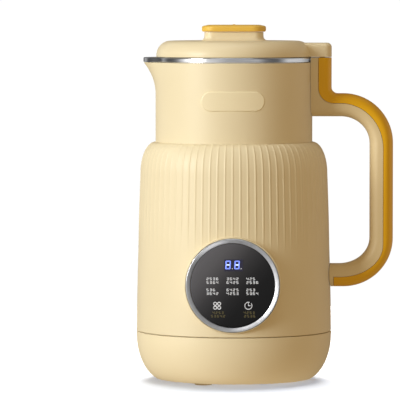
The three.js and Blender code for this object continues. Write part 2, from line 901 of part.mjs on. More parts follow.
// The inner frame: a plate under the heater, a collar round the cup and three posts to the base
function chassis() {
  const radius = shoulderRadius - housingWall - fit;
  const collarInner = cupOuter + fit;
  const through = (hole, steps) => rod(hole, chassisBottom - overrun, chassisTop + overrun, steps);
  let frame = join(
    tubeRing(chassisBore, radius, chassisBottom, chassisTop, ringSteps),
    tubeRing(
      collarInner,
      collarInner + chassisCollarWall,
      chassisTop - chassisThick / 2,
      cupFloor + chassisCollarLap,
      roundSteps,
    ),
  );
  const postBottom = baseFloor + baseBossHeight + fit;
  const bowlReach = seamRadius - baseCurveReach;
  const bowlTop = seamHeight - baseStraight;
  const bowlCurve = [radius - spigotWall - fit - bowlReach, bowlTop - baseFloor - fit];
  const bowlRoom = revolve([
    [0, baseFloor + fit],
    ...arc(bowlReach, bowlTop, ...bowlCurve, -90, 0, 2),
    [bowlReach + bowlCurve[0], chassisTop],
    [0, chassisTop],
  ]);
  for (const angle of screwAngles) {
    const place = around(postCircle, angle);
    const post = rod(postRadius, postBottom, chassisBottom + chassisThick / 2, screwSteps);
    const hole = rod(screwRadius + fit / 2, postBottom - overrun, postBottom + screwLength, screwSteps);
    frame = cut(frame.add(moved(post, ...place).intersect(bowlRoom)), moved(hole, ...place));
  }
  for (const side of [-1, 1]) {
    frame = frame.subtract(moved(through(screwRadius + fit, screwSteps), 0, side * motorScrewReach));
  }
  const window = through(thermostatRadius + heaterClearance, smallSteps);
  const probeHole = through(probeRadius + heaterClearance, screwSteps);
  const panelRoom = span(
    [-seamRadius, -seamRadius, chassisBottom - overrun],
    [seamRadius, panelBack + fit, chassisTop + overrun],
  );
  return cut(
    frame,
    panelRoom,
    moved(window, ...around(heaterRingRadius, 180)),
    moved(probeHole, ...around(probeCircle, 90)),
  );
}

function heatingElement() {
  const [from, to] = [180 + heaterOpening / 2, 540 - heaterOpening / 2];
  const points = arc(0, 0, heaterRingRadius, heaterRingRadius, from, to, heaterSteps);
  const line = points.map(([x, y]) => new THREE.Vector3(x, y, heaterAxis));
  let element = tube(new THREE.CatmullRomCurve3(line), heaterTubeRadius, coilSteps, heaterSteps);
  for (const side of [-1, 1]) {
    const [x, y] = around(heaterRingRadius, 180 + (side * heaterOpening) / 2);
    const along = 90 + (side * heaterOpening) / 2 + (side > 0 ? 180 : 0);
    const pin = alongX(rod(heaterPinRadius, -sink, heaterPin, coilSteps));
    element = element.add(moved(turned(pin, along + 180), x, y, heaterAxis));
  }
  return element;
}

function motorBracket(plateBottom, plateThick, legTo, bossTo, pocketFrom, pocketTo) {
  const plateTop = plateBottom + plateThick;
  const reach = statorWidth / 2;
  const plate = block(2 * reach, bracketDepth, plateThick, 0, 0, plateBottom);
  const up = legTo > plateBottom;
  const legLow = up ? plateBottom : legTo;
  const legHigh = up ? legTo : plateTop;
  const legs = [-1, 1].map((side) => {
    const x = side * (reach - bracketLeg / 2);
    return block(bracketLeg, bracketDepth, legHigh - legLow, x, 0, legLow);
  });
  const bossRadius = bearingRadius + fit + bearingBossWall;
  const boss = rod(bossRadius, Math.min(bossTo, plateTop - fit), Math.max(bossTo, plateBottom + fit));
  return cut(
    join(plate, ...legs, boss),
    rod(bearingRadius + fit, pocketFrom, pocketTo),
    rod(shaftBore + 3 * fit, plateBottom - overrun, plateTop + overrun),
  );
}

function upperBracket() {
  const pocketTop = upperBearing + bearingHeight + fit;
  const bracket = motorBracket(
    upperPlate,
    bracketPlate,
    statorTop + fit,
    upperBearing - fit / 2,
    upperBearing - overrun,
    pocketTop,
  );
  const boltHole = rod(boltRadius + fit, statorTop, motorTop - boltCover + fit, screwSteps);
  const screwHole = rod(screwRadius + fit, upperPlate - overrun, motorTop + overrun, screwSteps);
  const earWidth = 2 * (screwHeadRadius + sink);
  const ears = block(earWidth, 2 * motorScrewReach + earWidth, bracketPlate, 0, 0, upperPlate);
  const shaftHole = rod(shaftBore + 3 * fit, upperPlate - overrun, motorTop + overrun);
  return cut(
    bracket.add(cut(ears, shaftHole, rod(bearingRadius + fit, upperBearing, pocketTop))),
    moved(boltHole, boltReach, 0),
    moved(boltHole, -boltReach, 0),
    moved(screwHole, 0, motorScrewReach),
    moved(screwHole, 0, -motorScrewReach),
  );
}

// The lower bracket also carries the two brush tubes
function lowerBracket() {
  const bearingTop = lowerBearing + bearingHeight;
  const plateThick = bracketPlate;
  let bracket = motorBracket(
    lowerPlate,
    plateThick,
    statorBottom - fit,
    bearingTop,
    lowerBearing - fit,
    bearingTop + overrun,
  );
  const tubeOuter = brushSize + 2 * fit + 2 * brushTubeWall;
  const tubeFrom = commutatorRadius + 2 * airGap;
  const tubeTo = tubeFrom + brushTubeLength;
  const tubeMiddle = commutatorBottom + commutatorHeight / 2;
  const armWidth = tubeOuter;
  for (const side of [-1, 1]) {
    const y = side * ((tubeFrom + tubeTo) / 2);
    const holder = block(tubeOuter, brushTubeLength, tubeOuter, 0, y, tubeMiddle - tubeOuter / 2);
    const towerY = side * (tubeTo - brushTubeLength / 4);
    const towerTop = tubeMiddle - tubeOuter / 2 + brushTubeWall / 2;
    const tower = block(tubeOuter, brushTubeLength / 2, towerTop - lowerPlate, 0, towerY, lowerPlate);
    const armFrom = bearingRadius + 2 * fit;
    const armY = (side * (tubeTo + armFrom)) / 2;
    const arm = block(armWidth, tubeTo - armFrom, plateThick, 0, armY, lowerPlate);
    bracket = join(bracket, holder, tower, arm);
  }
  const channelSize = brushSize + 2 * fit;
  const channel = block(channelSize, 2 * tubeTo + overrun, channelSize, 0, 0, tubeMiddle - channelSize / 2);
  const hole = rod(boltRadius + fit, lowerPlate - overrun, statorBottom, screwSteps);
  const bore = rod(bearingRadius + fit, lowerBearing - fit, bearingTop + overrun);
  return cut(bracket, channel, bore, moved(hole, boltReach, 0), moved(hole, -boltReach, 0));
}

function statorCore() {
  const outline = roundedRectangle(statorWidth, statorDepth, statorCorner, 2);
  const windowDepth = statorDepth - 2 * statorYoke;
  const windowWidth = statorWidth / 2 - statorFrame - poleHalfWidth;
  const windowX = poleHalfWidth + windowWidth / 2;
  const core = upright(outline, statorBottom, statorTop);
  const tall = statorHeight + 2 * overrun;
  const hole = rod(boltRadius + fit, statorBottom - overrun, statorTop + overrun, screwSteps);
  return cut(
    core,
    rod(rotorRadius + rotorAir, statorBottom - overrun, statorTop + overrun),
    block(windowWidth, windowDepth, tall, windowX, 0, statorBottom - overrun),
    block(windowWidth, windowDepth, tall, -windowX, 0, statorBottom - overrun),
    moved(hole, boltReach, 0),
    moved(hole, -boltReach, 0),
  );
}

// A field coil is a racetrack loop round one pole
function fieldCoil(side) {
  const hole = 2 * (poleHalfWidth + airGap);
  const outer = roundedRectangle(hole + 2 * coilWidth, coilTop - coilBottom, coilWidth / 2, 2);
  const inner = roundedRectangle(hole, statorHeight + 4 * fit, fit, 1);
  const middle = (coilTop + coilBottom) / 2;
  const y = side * (statorDepth / 2 - statorYoke - airGap - coilThick / 2);
  const loop = cut(sideways(outer, coilThick), sideways(inner, coilThick + overrun));
  return moved(loop, 0, y, middle);
}

function rotorCore() {
  const outline = [];
  const pitch = 360 / rotorSlots;
  for (let i = 0; i < rotorSlots; i++) {
    outline.push(around(rotorRadius, pitch * (i - rotorToothShare)));
    outline.push(around(rotorRadius, pitch * (i + rotorToothShare)));
    outline.push(around(rotorRadius - rotorSlotDepth, pitch * (i + 1 - rotorRootShare)));
    outline.push(around(rotorRadius - rotorSlotDepth, pitch * (i + rotorRootShare)));
  }
  const core = upright(outline, statorBottom + rotorInset, statorTop - rotorInset);
  return core.subtract(rod(shaftBore, statorBottom - overrun, statorTop + overrun));
}

function coolingFan() {
  let fan = join(
    rod(fanHub, fanBottom, fanTop, screwSteps),
    rod(fanRadius, fanTop - fanDisc, fanTop, smallSteps),
  );
  for (let i = 0; i < fanBlades; i++) {
    const vane = span(
      [fanHub - sink, -fanBladeThick / 2, fanBottom],
      [fanRadius - fanEdge, fanBladeThick / 2, fanTop - fanDisc / 2],
    );
    fan = fan.add(turned(vane, (360 * i) / fanBlades));
  }
  return fan.subtract(rod(shaftBore, fanBottom - overrun, fanTop + overrun));
}

function motorShaft() {
  return revolve(
    [
      [0, fanBottom - shaftTail],
      [shaftRadius, fanBottom - shaftTail],
      [shaftRadius, collarBottom],
      [collarRadius, collarBottom],
      [collarRadius, collarTop],
      [spindleRadius, collarTop],
      [spindleRadius, collarTop + 2 * (bladeThick + fit) + capNutHex],
      [0, collarTop + 2 * (bladeThick + fit) + capNutHex],
    ],
    smallSteps,
  );
}

// A two-winged blade whose tips bend up or down, with a ground edge on each wing
function blade(bottom, lift, heading) {
  const top = bottom + bladeThick;
  const strip = [
    [-bladeReach, top + lift],
    [-bladeReach, bottom + lift],
    [-bladeBend, bottom],
    [bladeBend, bottom],
    [bladeReach, bottom + lift],
    [bladeReach, top + lift],
    [bladeBend, top],
    [-bladeBend, top],
  ];
  const plan = [
    [-bladeReach, -bladeTipWidth / 2],
    [-bladeBend, -bladeWidth / 2],
    [bladeBend, -bladeWidth / 2],
    [bladeReach, -bladeTipWidth / 2],
    [bladeReach, bladeTipWidth / 2],
    [bladeBend, bladeWidth / 2],
    [-bladeBend, bladeWidth / 2],
    [-bladeReach, bladeTipWidth / 2],
  ];
  const low = Math.min(bottom, bottom + lift) - overrun;
  const high = Math.max(top, top + lift) + overrun;
  const shape = sideways(strip, bladeWidth + overrun).intersect(upright(plan, low, high));
  return turned(shape.subtract(rod(bladeBore, low, high, screwSteps)), heading);
}

function capNut() {
  const bottom = collarTop + 2 * (bladeThick + fit) + fit;
  const dome = revolve(
    [
      [0, bottom + capNutHex / 2],
      [capNutDome, bottom + capNutHex / 2],
      [capNutDome, bottom + capNutHex],
      ...arc(0, bottom + capNutHex, capNutDome, capNutHeight - capNutHex, 25, 90, 3),
    ],
    screwSteps,
  );
  const hex = rod(capNutRadius, bottom, bottom + capNutHex, 6);
  return cut(join(hex, dome), rod(bladeBore, bottom - overrun, bottom + capNutHex + fit, screwSteps));
}

function sealHousing() {
  const stemRadius = cupPortRadius - fit;
  const sealSeat = sealTop - lipSealHeight - fit;
  return revolve([
    [shaftBore, cupUnderside - sealStemDrop],
    [stemRadius, cupUnderside - sealStemDrop],
    [stemRadius, cupFloor + fit],
    [sealFlangeRadius, cupFloor + fit],
    [sealFlangeRadius - sealFlangeSlope, sealTop],
    [lipSealRadius + fit, sealTop],
    [lipSealRadius + fit, sealSeat],
    [bushRadius + fit, sealSeat],
    [bushRadius + fit, cupUnderside - sealStemDrop + bushLip],
    [shaftBore, cupUnderside - sealStemDrop + bushLip],
  ], smallSteps);
}

// A bolt along Z, whose head's underside lies at a height and which points up or down
function bolt(headZ, length, up, headRadius, headHeight, radius, steps) {
  const way = up ? 1 : -1;
  const profile = [
    [0, headZ - way * headHeight],
    [headRadius, headZ - way * headHeight],
    [headRadius, headZ],
    [radius, headZ],
    [radius, headZ + way * length],
    [0, headZ + way * length],
  ];
  return revolve(profile, steps);
}

// A screw with a slot across its head
function screw(headZ, length, up) {
  const body = bolt(headZ, length, up, screwHeadRadius, screwHeadHeight, screwRadius, screwSteps);
  const slotDepth = screwHeadHeight / 2;
  const slotBottom = up ? headZ - screwHeadHeight - overrun : headZ + screwHeadHeight - slotDepth;
  const slot = block(2 * screwHeadRadius + overrun, slotDepth, slotDepth + overrun, 0, 0, slotBottom);
  return body.subtract(slot);
}

function ballBearing(bottom) {
  const top = bottom + bearingHeight;
  return revolve([
    [shaftBore, bottom],
    [bearingRadius - bearingEdge, bottom],
    [bearingRadius, bottom + bearingEdge],
    [bearingRadius, top],
    [shaftBore, top],
  ], bearingSteps);
}

// The C-shaped line of the handle, from its upper end to its lower end
function handleLine(top, right, bottom, upper, lower, grow, upperX, lowerX) {
  return [
    [upperX, top + grow],
    ...arc(right - upper[0], top - upper[1], upper[0] + grow, upper[1] + grow, 90, 0, 6),
    ...arc(right - lower[0], bottom + lower[1], lower[0] + grow, lower[1] + grow, 0, -90, 6),
    [lowerX, bottom - grow],
  ];
}

// The whole handle's side outline; inset gives the hollow inside its walls
function handleOutline(inset, upperX, lowerX, topZ) {
  const fillet = riserFillet + inset;
  const outer = handleLine(gripTop, outerX, gripBottom, outerUpper, outerLower, -inset, riserX, lowerX);
  const inner = handleLine(innerTop, innerX, innerBottom, innerUpper, innerLower, inset, upperX, lowerX);
  return [
    [upperX, topZ],
    [riserX - inset, topZ],
    ...arc(riserX - inset + fillet, gripTop - inset + fillet, fillet, fillet, 180, 270, 3),
    ...outer.slice(1),
    ...inner.reverse(),
  ];
}

// The side outline of all that belongs to the grip, grown by a gap
function gripRegion(gap) {
  const far = 2 * outerX;
  const corner = seamFillet + gap;
  const end = seamRadius + gripEnd - gap;
  const line = handleLine(creamTop, seamX, creamBottom, seamUpper, seamLower, -gap, riserX, end);
  return [
    [riserSeamX - gap, rimTop + overrun],
    ...arc(riserSeamX - gap + corner, creamTop - gap + corner, corner, corner, 180, 270, 4),
    ...line.slice(1),
    [end, 0],
    [far, 0],
    [far, rimTop + overrun],
  ];
}

function bodyEnvelope() {
  const levels = [seamHeight, gripBottom, innerBottom, panelHeight + ridgeFade, shoulderStart];
  const shoulder = shoulderShares.map((share) => shoulderStart + share * shoulderRise);
  const points = [...levels, ...shoulder].map((z) => [housingRadius(z) + fit, z]);
  const neck = neckRadius + fit;
  return revolve([
    [0, seamHeight],
    ...points,
    [neck, neckBase + overrun],
    [neck, rimTop + overrun],
    [0, rimTop + overrun],
  ], 2 * roundSteps);
}

function handleParts() {
  const cavityUpper = neckRadius + fit + endWall;
  const cavityLower = seamRadius + fit + endWall;
  const above = rimTop + 2 * handleBevel;
  const outline = handleOutline(0, neckRadius / 2, seamRadius / 2, above);
  const whole = cut(
    sideways(outline, handleWidth, handleBevel, handleBevelDepth),
    bodyEnvelope(),
    span([0, -handleWidth, riserTop], [outerX, handleWidth, above + overrun]),
  );
  const hollow = sideways(handleOutline(handleWall, cavityUpper, cavityLower, above), hollowWidth);
  const screwLow = (innerBottom + gripBottom) / 2;
  const hole = (radius, x, y, z, length) =>
    moved(alongX(rod(radius, 0, length, screwSteps)), x - length / 2, y, z);
  const lowerHoles = [
    hole(screwRadius + fit, cavityLower, -screwSide, screwLow, 4 * endWall),
    hole(harnessRadius + 2 * fit, cavityLower, 0, screwLow, 4 * endWall),
  ];
  const outside = sideways(gripRegion(0), 2 * handleWidth);
  const grip = cut(whole, hollow, ...lowerHoles).intersect(outside);
  const cavityRight = riserX - handleWall;
  const plate = span(
    [cavityUpper - endWall / 2, fit - hollowWidth / 2, riserTop - capPlate],
    [cavityRight - fit, hollowWidth / 2 - fit, riserTop],
  );
  const shelf = span(
    [cavityUpper - endWall / 2, -switchLength / 2, switchTop - switchHeight - fit - switchShelf],
    [plungerX, switchLength / 2, switchTop - switchHeight - fit],
  );
  const body = cut(
    join(cut(whole, hollow, sideways(gripRegion(fit), 2 * handleWidth)), plate, shelf),
    moved(rod(plungerRadius + fit, riserTop - capPlate - overrun, riserTop + overrun, 16), plungerX, 0),
    hole(screwRadius + fit, cavityUpper, 0, riserTop - screwDrop, 3 * endWall),
    ...lowerHoles,
  );
  return { body: body.add(handleHook(0, cupOuter + airGap)), grip };
}

// The lid switch's wires run through the handle to the power board
function switchHarness() {
  const top = (gripTop + innerTop) / 2;
  const right = (outerX + innerX) / 2;
  const bottom = (gripBottom + innerBottom) / 2;
  const upper = [(outerUpper[0] + innerUpper[0]) / 2, (outerUpper[1] + innerUpper[1]) / 2];
  const lower = [(outerLower[0] + innerLower[0]) / 2, (outerLower[1] + innerLower[1]) / 2];
  const [lineStart, lineEnd] = [riserX + riserFillet, seamRadius - housingWall];
  const line = handleLine(top, right, bottom, upper, lower, 0, lineStart, lineEnd);
  const start = plungerX + switchWidth / 2 - harnessRadius + fit;
  const switchBottom = switchTop - switchHeight - fit;
  const boardX = powerBoardReach + boardThick / 2;
  const boardTop = powerBoardBottom + powerBoardHeight;
  const drop = seamRadius - housingWall - boardX;
  const route = [
    [start, switchBottom],
    [start, switchBottom - 2 * seamFillet / 3],
    ...line,
    [boardX + drop / 2, bottom - harnessRadius],
    [boardX, boardTop + 5 * harnessRadius],
    [boardX, boardTop + 2 * fit],
  ];
  const curve = new THREE.CatmullRomCurve3(route.map(([x, z]) => new THREE.Vector3(x, 0, z)));
  return tube(curve, harnessRadius, 5, harnessSteps);
}

function lidCover() {
  const edge = lidRadius - lidEdgeReach;
  const skirtTop = lidBottom + lidSkirt;
  const outer = revolve([
    [0, lidBottom],
    [lidRadius, lidBottom],
    ...arc(edge, skirtTop, lidEdgeReach, lidTop - skirtTop, 0, 90, 5),
    [0, lidTop],
  ]);
  const inner = revolve([
    [0, lidBottom - overrun],
    [lidRadius - lidWall, lidBottom - overrun],
    ...arc(edge, skirtTop, lidEdgeReach - lidWall, lidTop - skirtTop - lidWall, 0, 90, 2),
    [0, lidTop - lidWall],
  ]);
  const tabRing = (less, height) => {
    const corner = tabCorner - tabCornerShare * less;
    const plan = roundedRectangle(2 * (riserX - less), handleWidth - 2 * less, corner, 3);
    return plan.map(([x, y]) => [Math.max(x, tabRoot), y, height]);
  };
  const round = tabTopRound;
  const tab = stack([
    tabRing(0, lidBottom),
    tabRing(0, tabTop - round),
    tabRing(round * roundShares[0], tabTop - round * roundShares[1]),
    tabRing(round * roundShares[1], tabTop - round * roundShares[0]),
    tabRing(round, tabTop),
  ]);
  const tabHollow = span(
    [tabRoot - 2 * lidWall, lidWall - handleWidth / 2, lidBottom + lidWall],
    [riserX - lidWall, handleWidth / 2 - lidWall, tabTop - lidWall],
  );
  const pin = rod(tabPinRadius, lidBottom - tabPinDepth, tabTop - lidWall / 2, screwSteps);
  const knobRing = (more, height) =>
    roundedRectangle(knobWidth + 2 * more, knobDepth + 2 * more, knobCorner + more, 3).map(([x, y]) => [
      x,
      y,
      height,
    ]);
  const knobTop = lidTop + knobHeight;
  const neck = stack([
    knobRing(knobFlare, lidTop - lidWall / 2),
    knobRing(knobFlare, lidTop),
    knobRing(knobFlareShares[0] * knobFlare, lidTop + knobFlareShares[1] * knobFlare),
    knobRing(0, lidTop + knobFlareShares[2] * knobFlare),
    knobRing(0, knobTop),
  ]);
  const neckHollow = upright(
    roundedRectangle(knobWidth - 2 * lidWall, knobDepth - 2 * lidWall, knobCorner - lidWall, 2),
    lidTop - lidWall - overrun,
    knobTop - lidWall,
  );
  return cut(join(cut(join(outer, tab), tabHollow), neck), inner, neckHollow).add(moved(pin, plungerX, 0));
}

function lidBase() {
  const flangeRadius = lidRadius - lidWall - 2 * fit;
  const bottom = lidBottom - plugDepth;
  const plug = revolve([
    [0, bottom],
    [plugRadius + plugLip, bottom],
    [plugRadius + plugLip, bottom + plugFloor],
    [plugRadius, bottom + plugFloor],
    [plugRadius, lidBottom],
    [flangeRadius, lidBottom],
    [flangeRadius, lidBottom + plugFlange],
    [plugRadius - plugWall, lidBottom + plugFlange],
    [plugRadius - plugWall, bottom + plugFloor],
    [0, bottom + plugFloor],
  ]);
  const hole = rod(overflowRadius + fit, bottom - overrun, bottom + plugFloor + overrun, screwSteps);
  return plug.subtract(moved(hole, -overflowReach, 0));
}

function lidGasket() {
  const bottom = lidBottom - plugDepth + plugFloor + fit;
  const inner = plugRadius + fit;
  const body = inner + gasketThick - gasketLip - fit;
  const outer = cupRadius - fit;
  const lip = gasketHeight / 5;
  return revolve([
    [inner, bottom],
    [body, bottom],
    [outer, bottom + lip],
    [body, bottom + 2.2 * lip],
    [outer, bottom + 3.4 * lip],
    [inner, bottom + gasketHeight],
  ]);
}

function knobCap() {
  const bottom = lidTop + knobHeight + fit;
  const ring = (lessX, lessY, height) =>
    roundedRectangle(capWidth - 2 * lessX, capDepth - 2 * lessY, capCorner - lessY / 2, 4).map(([x, y]) => [
      x,
      y,
      height,
    ]);
  const top = bottom + capHeight;
  const plate = stack([
    ring(capRound, capRound, bottom),
    ring(0.3 * capRound, 0.3 * capRound, bottom + 0.3 * capRound),
    ring(0, 0, bottom + capRound),
    ring(0, 0, top - 2 * capRound),
    ring(0.4 * capRound, 0.4 * capRound, top - 1.2 * capRound),
    ring(2.2 * capRound, 1.6 * capRound, top - 0.55 * capRound),
    ring(capCrown, 0.6 * capCrown, top),
  ]);
  const pip = revolve([
    [0, top - capPip],
    [capPip, top - capPip],
    [capPip, top],
    [0.6 * capPip, top + 0.3 * capPip],
    [0, top + 0.35 * capPip],
  ], screwSteps);
  return plate.add(pip);
}

function powerBoard() {
  const board = block(
    boardThick,
    powerBoardWidth,
    powerBoardHeight,
    powerBoardReach + boardThick / 2,
    0,
    powerBoardBottom,
  );
  const face = powerBoardReach + boardThick / 2;
  const middle = powerBoardBottom + powerBoardHeight / 2;
  const relay = span([face, -relayWidth, middle], [face + relayDepth, 0, middle + relayHeight]);
  const second = span([face, fit, middle], [face + relayDepth, relayWidth, middle + relayHeight]);
  const capacitor = moved(
    rod(capacitorRadius, middle - capacitorHeight - partGap, middle - partGap, screwSteps),
    face + capacitorRadius,
    relayWidth / 2,
  );
  const coil = span(
    [face, -relayWidth, middle - relayHeight - partGap],
    [face + relayDepth - partGap, -partGap, middle - partGap],
  );
  return join(board, relay, second, capacitor, coil);
}

function powerInlet() {
  const face = panelFace - fit;
  const outline = (grow) =>
    roundedRectangle(inletOuterWidth + 2 * grow, inletOuterHeight + 2 * grow, inletCorner, 3);
  const cavity = roundedRectangle(inletWidth, inletHeight, inletCorner, 3);
  const back = inletDepth + inletFloor;
  const plate = (shape, from, to) => moved(alongY(upright(shape, from, to)), 0, 0, inletCentre);
  let inlet = cut(
    join(
      plate(outline(0), -face, back - face),
      plate(outline(inletFlange), -face, inletFlangeThick - fit - face),
    ),
    plate(cavity, -face - overrun, inletDepth - face),
  );
  const pinPlaces = [
    [-pinSpacing / 2, -earthRise / 2],
    [pinSpacing / 2, -earthRise / 2],
    [0, earthRise],
  ];
  for (const [x, z] of pinPlaces) {
    const backFace = face - inletDepth;
    inlet = inlet.add(
      span(
        [x - pinWidth / 2, backFace - inletFloor - 2 * inletFloor, inletCentre + z - pinHeight / 2],
        [x + pinWidth / 2, backFace + pinLength, inletCentre + z + pinHeight / 2],
      ),
    );
  }
  return inlet;
}

// Base and feet
add("base_cover", baseCover(), cream);
footAngles.forEach((angle, i) => {
  const foot = revolve([
    [0, 0],
    [footRadius - footEdge, 0],
    [footRadius, footEdgeShare * footStand],
    [footRadius, footStand + footPlug - fit],
    [0, footStand + footPlug - fit],
  ], smallSteps);
  add(`foot_${i + 1}`, moved(foot, ...around(footCircle, angle)), rubber);
});
screwAngles.forEach((angle, i) => {
  const headTop = footStand + screwHeadHeight + fit;
  add(`base_screw_${i + 1}`, moved(screw(headTop, screwLength, true), ...around(postCircle, angle)), steel);
});

// Shells and cup
add("outer_housing", outerHousing(), cream);
add("neck_sleeve", neckSleeve(), cream);
const probePlace = around(probeCircle, 90);
const probeHole = rod(probeRadius + fit, chassisBottom, cupFloor + overrun, screwSteps);
const probeBore = moved(probeHole, ...probePlace);
add("inner_cup", innerCup().subtract(probeBore), brushedSteel);

// Heater under the cup
const spreader = tubeRing(spreaderBore, cupFlat, spreaderBottom, cupUnderside - fit, ringSteps);
add("heat_spreader", spreader.subtract(probeBore), aluminium);
add("heating_element", heatingElement(), steel);
const thermostatTop = spreaderBottom - fit;
const thermostat = join(
  rod(thermostatRadius, thermostatTop - 0.55 * thermostatHeight, thermostatTop, bearingSteps),
  rod(thermostatCap, thermostatTop - thermostatHeight, thermostatTop - thermostatHeight / 2, bearingSteps),
);
add("thermostat", moved(thermostat, ...around(heaterRingRadius, 180)), blackPlastic);
const probe = revolve([
  [0, cupUnderside - probeDrop],
  [probeRadius, cupUnderside - probeDrop],
  [probeRadius, cupFloor + fit],
  [probeRadius + probeLip, cupFloor + fit],
  [probeRadius + probeLip, cupFloor + fit + probeFlange],
  [probeRadius, cupFloor + fit + probeFlange],
  [probeRadius, cupFloor + probeRise],
  [0, cupFloor + probeRise + probeRadius / 2],
], screwSteps);
add("temperature_probe", moved(probe, ...probePlace), steel);

// Shaft seal through the cup's floor
add("seal_housing", sealHousing(), steel);
const nutTop = cupUnderside - fit;
const sealNut = cut(
  rod(sealNutRadius, nutTop - sealNutHeight, nutTop, 6),
  rod(cupPortRadius, nutTop - sealNutHeight - overrun, nutTop + overrun, smallSteps),
);
add("seal_nut", sealNut, steel);
const lipSeal = revolve([
  [shaftBore, sealTop - lipSealHeight],
  [lipSealRadius, sealTop - lipSealHeight],
  [lipSealRadius, sealTop - fit],
  [lipSealRadius - lipSealWall, sealTop - fit],
  [lipSealRadius - 1.3 * lipSealWall, sealTop - lipSealHeight / 2],
  [shaftBore, sealTop - fit],
], smallSteps);
add("shaft_seal", lipSeal, rubber);
const bushBottom = cupUnderside - sealStemDrop + bushLip + fit;
const bushTop = sealTop - lipSealHeight - 2 * fit;
add("shaft_bush", tubeRing(shaftBore, bushRadius, bushBottom, bushTop), bronze);
add("chassis", chassis(), ivory);

// Motor
add("upper_bracket", upperBracket(), aluminium);
add("lower_bracket", lowerBracket(), blackPlastic);
add("stator_core", statorCore(), steel);
add("field_coil_front", fieldCoil(-1), copper);
add("field_coil_rear", fieldCoil(1), copper);
add("upper_bearing", ballBearing(upperBearing), steel);
add("lower_bearing", ballBearing(lowerBearing), steel);
for (const [name, side] of [["front", -1], ["rear", 1]]) {
  const from = commutatorRadius + fit + fit / 3;
  const y = side * (from + brushLength / 2);
  const z = commutatorBottom + commutatorHeight / 2 - brushSize / 2;
  add(`carbon_brush_${name}`, block(brushSize, brushLength, brushSize, 0, y, z), carbon);
}
for (const [name, side] of [["left", -1], ["right", 1]]) {
  const length = motorTop - boltCover - lowerPlate - fit;
  const long = bolt(lowerPlate - fit, length, true, boltHeadRadius, boltHead, boltRadius, coilSteps);
  add(`motor_bolt_${name}`, moved(long, side * boltReach, 0), steel);
}
for (const [name, side] of [["front", -1], ["rear", 1]]) {
  const length = chassisThick + bracketPlate;
  const short = bolt(chassisTop + fit, length, false, screwHeadRadius, heaterAir, screwRadius, coilSteps);
  add(`motor_screw_${name}`, moved(short, 0, side * motorScrewReach), steel);
}

// Turning parts
add("motor_shaft", motorShaft(), steel);
add("rotor_core", rotorCore(), steel);
const commutatorTop = commutatorBottom + commutatorHeight;
add("commutator", tubeRing(shaftBore, commutatorRadius, commutatorBottom, commutatorTop), copper);
add("cooling_fan", coolingFan(), blackPlastic);
add("lower_blade", blade(collarTop + fit, -lowerBladeDrop, 45), steel);
add("upper_blade", blade(collarTop + bladeThick + 2 * fit, upperBladeRise, 135), steel);
add("blade_nut", capNut(), steel);

// Panel
const windowFront = panelSeat + windowThick;
const window = revolve([
  [0, panelSeat],
  [windowRadius, panelSeat],
  [windowRadius, windowFront - windowChamfer],
  [windowRadius - windowChamfer, windowFront],
  [0, windowFront],
]);
add("panel_window", facing(window), blackGlass);
const bezelFront = panelSeat + bezelDepth;
const bezel = revolve([
  [bezelInner, panelSeat],
  [bezelRadius, panelSeat],
  [bezelRadius, bezelFront - bezelChamfer],
  [bezelRadius - bezelChamfer, bezelFront],
  [bezelInner, bezelFront - bezelChamfer / 2],
]);
add("panel_bezel", facing(bezel), silver);
const display = span(
  [-displayWidth / 2, 2 * fit - panelSeat, panelHeight + displayRise - displayHeight / 2],
  [displayWidth / 2, 2 * fit - panelSeat + displayDepth, panelHeight + displayRise + displayHeight / 2],
);
add("digit_display", display, blackPlastic);
const board = rod(windowRadius, boardFront - boardThick, boardFront, smallSteps);
add("control_board", facing(board), boardGreen);
for (const [name, side] of [["left", -1], ["right", 1]]) {
  const room = panelSeat - boardFront - 2 * fit;
  const helix = new Helix(keyCoilRadius, room - 2 * keyWireRadius, keyCoilTurns);
  const coil = alongY(tube(helix, keyWireRadius, 4, coilSteps * keyCoilTurns));
  const back = fit + keyWireRadius - panelSeat;
  const place = [(side * keySpacing) / 2, back, panelHeight - keyDrop];
  add(`key_spring_${name}`, moved(turned(coil, 180), ...place), bronze);
}

// Power
add("power_board", powerBoard(), boardGreen);
add("power_inlet", powerInlet(), blackPlastic);

// Handle and its lid switch
const { body: handleBody, grip: handleGrip } = handleParts();
add("handle_body", handleBody, cream);
add("handle_grip", handleGrip, amber);
const upperHead = neckRadius + fit + endWall + fit;
const lowerHead = seamRadius + fit + endWall + fit;
const lengthwise = (headX, length, y, z) => moved(alongX(screw(headX, length, false)), 0, y, z);
const upperReach = upperHead - sleeveInner - fit;
add("handle_screw_upper", lengthwise(upperHead, upperReach, 0, riserTop - screwDrop), steel);
const lowerReach = handleScrewLength + housingBoss;
const lowerZ = (innerBottom + gripBottom) / 2;
add("handle_screw_lower", lengthwise(lowerHead, lowerReach, -screwSide, lowerZ), steel);
const lidSwitch = block(switchWidth, switchLength, switchHeight, plungerX, 0, switchTop - switchHeight);
add("lid_switch", lidSwitch, blackPlastic);
add("switch_harness", switchHarness(), carbon);
const flangeBottom = riserTop - capPlate - fit - plungerTravel - plungerFlangeThick;
const plunger = revolve([
  [0, plungerTop - plungerLength],
  [plungerStem, plungerTop - plungerLength],
  [plungerStem, flangeBottom],
  [plungerFlange, flangeBottom],
  [plungerFlange, flangeBottom + plungerFlangeThick],
  [plungerRadius, flangeBottom + plungerFlangeThick],
  [plungerRadius, plungerTop],
  [0, plungerTop],
], 16);
add("switch_plunger", moved(plunger, plungerX, 0), ivory);
const springRoom = flangeBottom - switchTop - 2 * fit;
const springLine = new Helix(
  plungerStem + plungerWireRadius + fit,
  springRoom - 2 * plungerWireRadius,
  plungerSpringTurns,
);
const plungerSpring = tube(springLine, plungerWireRadius, 4, coilSteps * plungerSpringTurns);
add("plunger_spring", moved(plungerSpring, plungerX, 0, switchTop + fit + plungerWireRadius), steel);

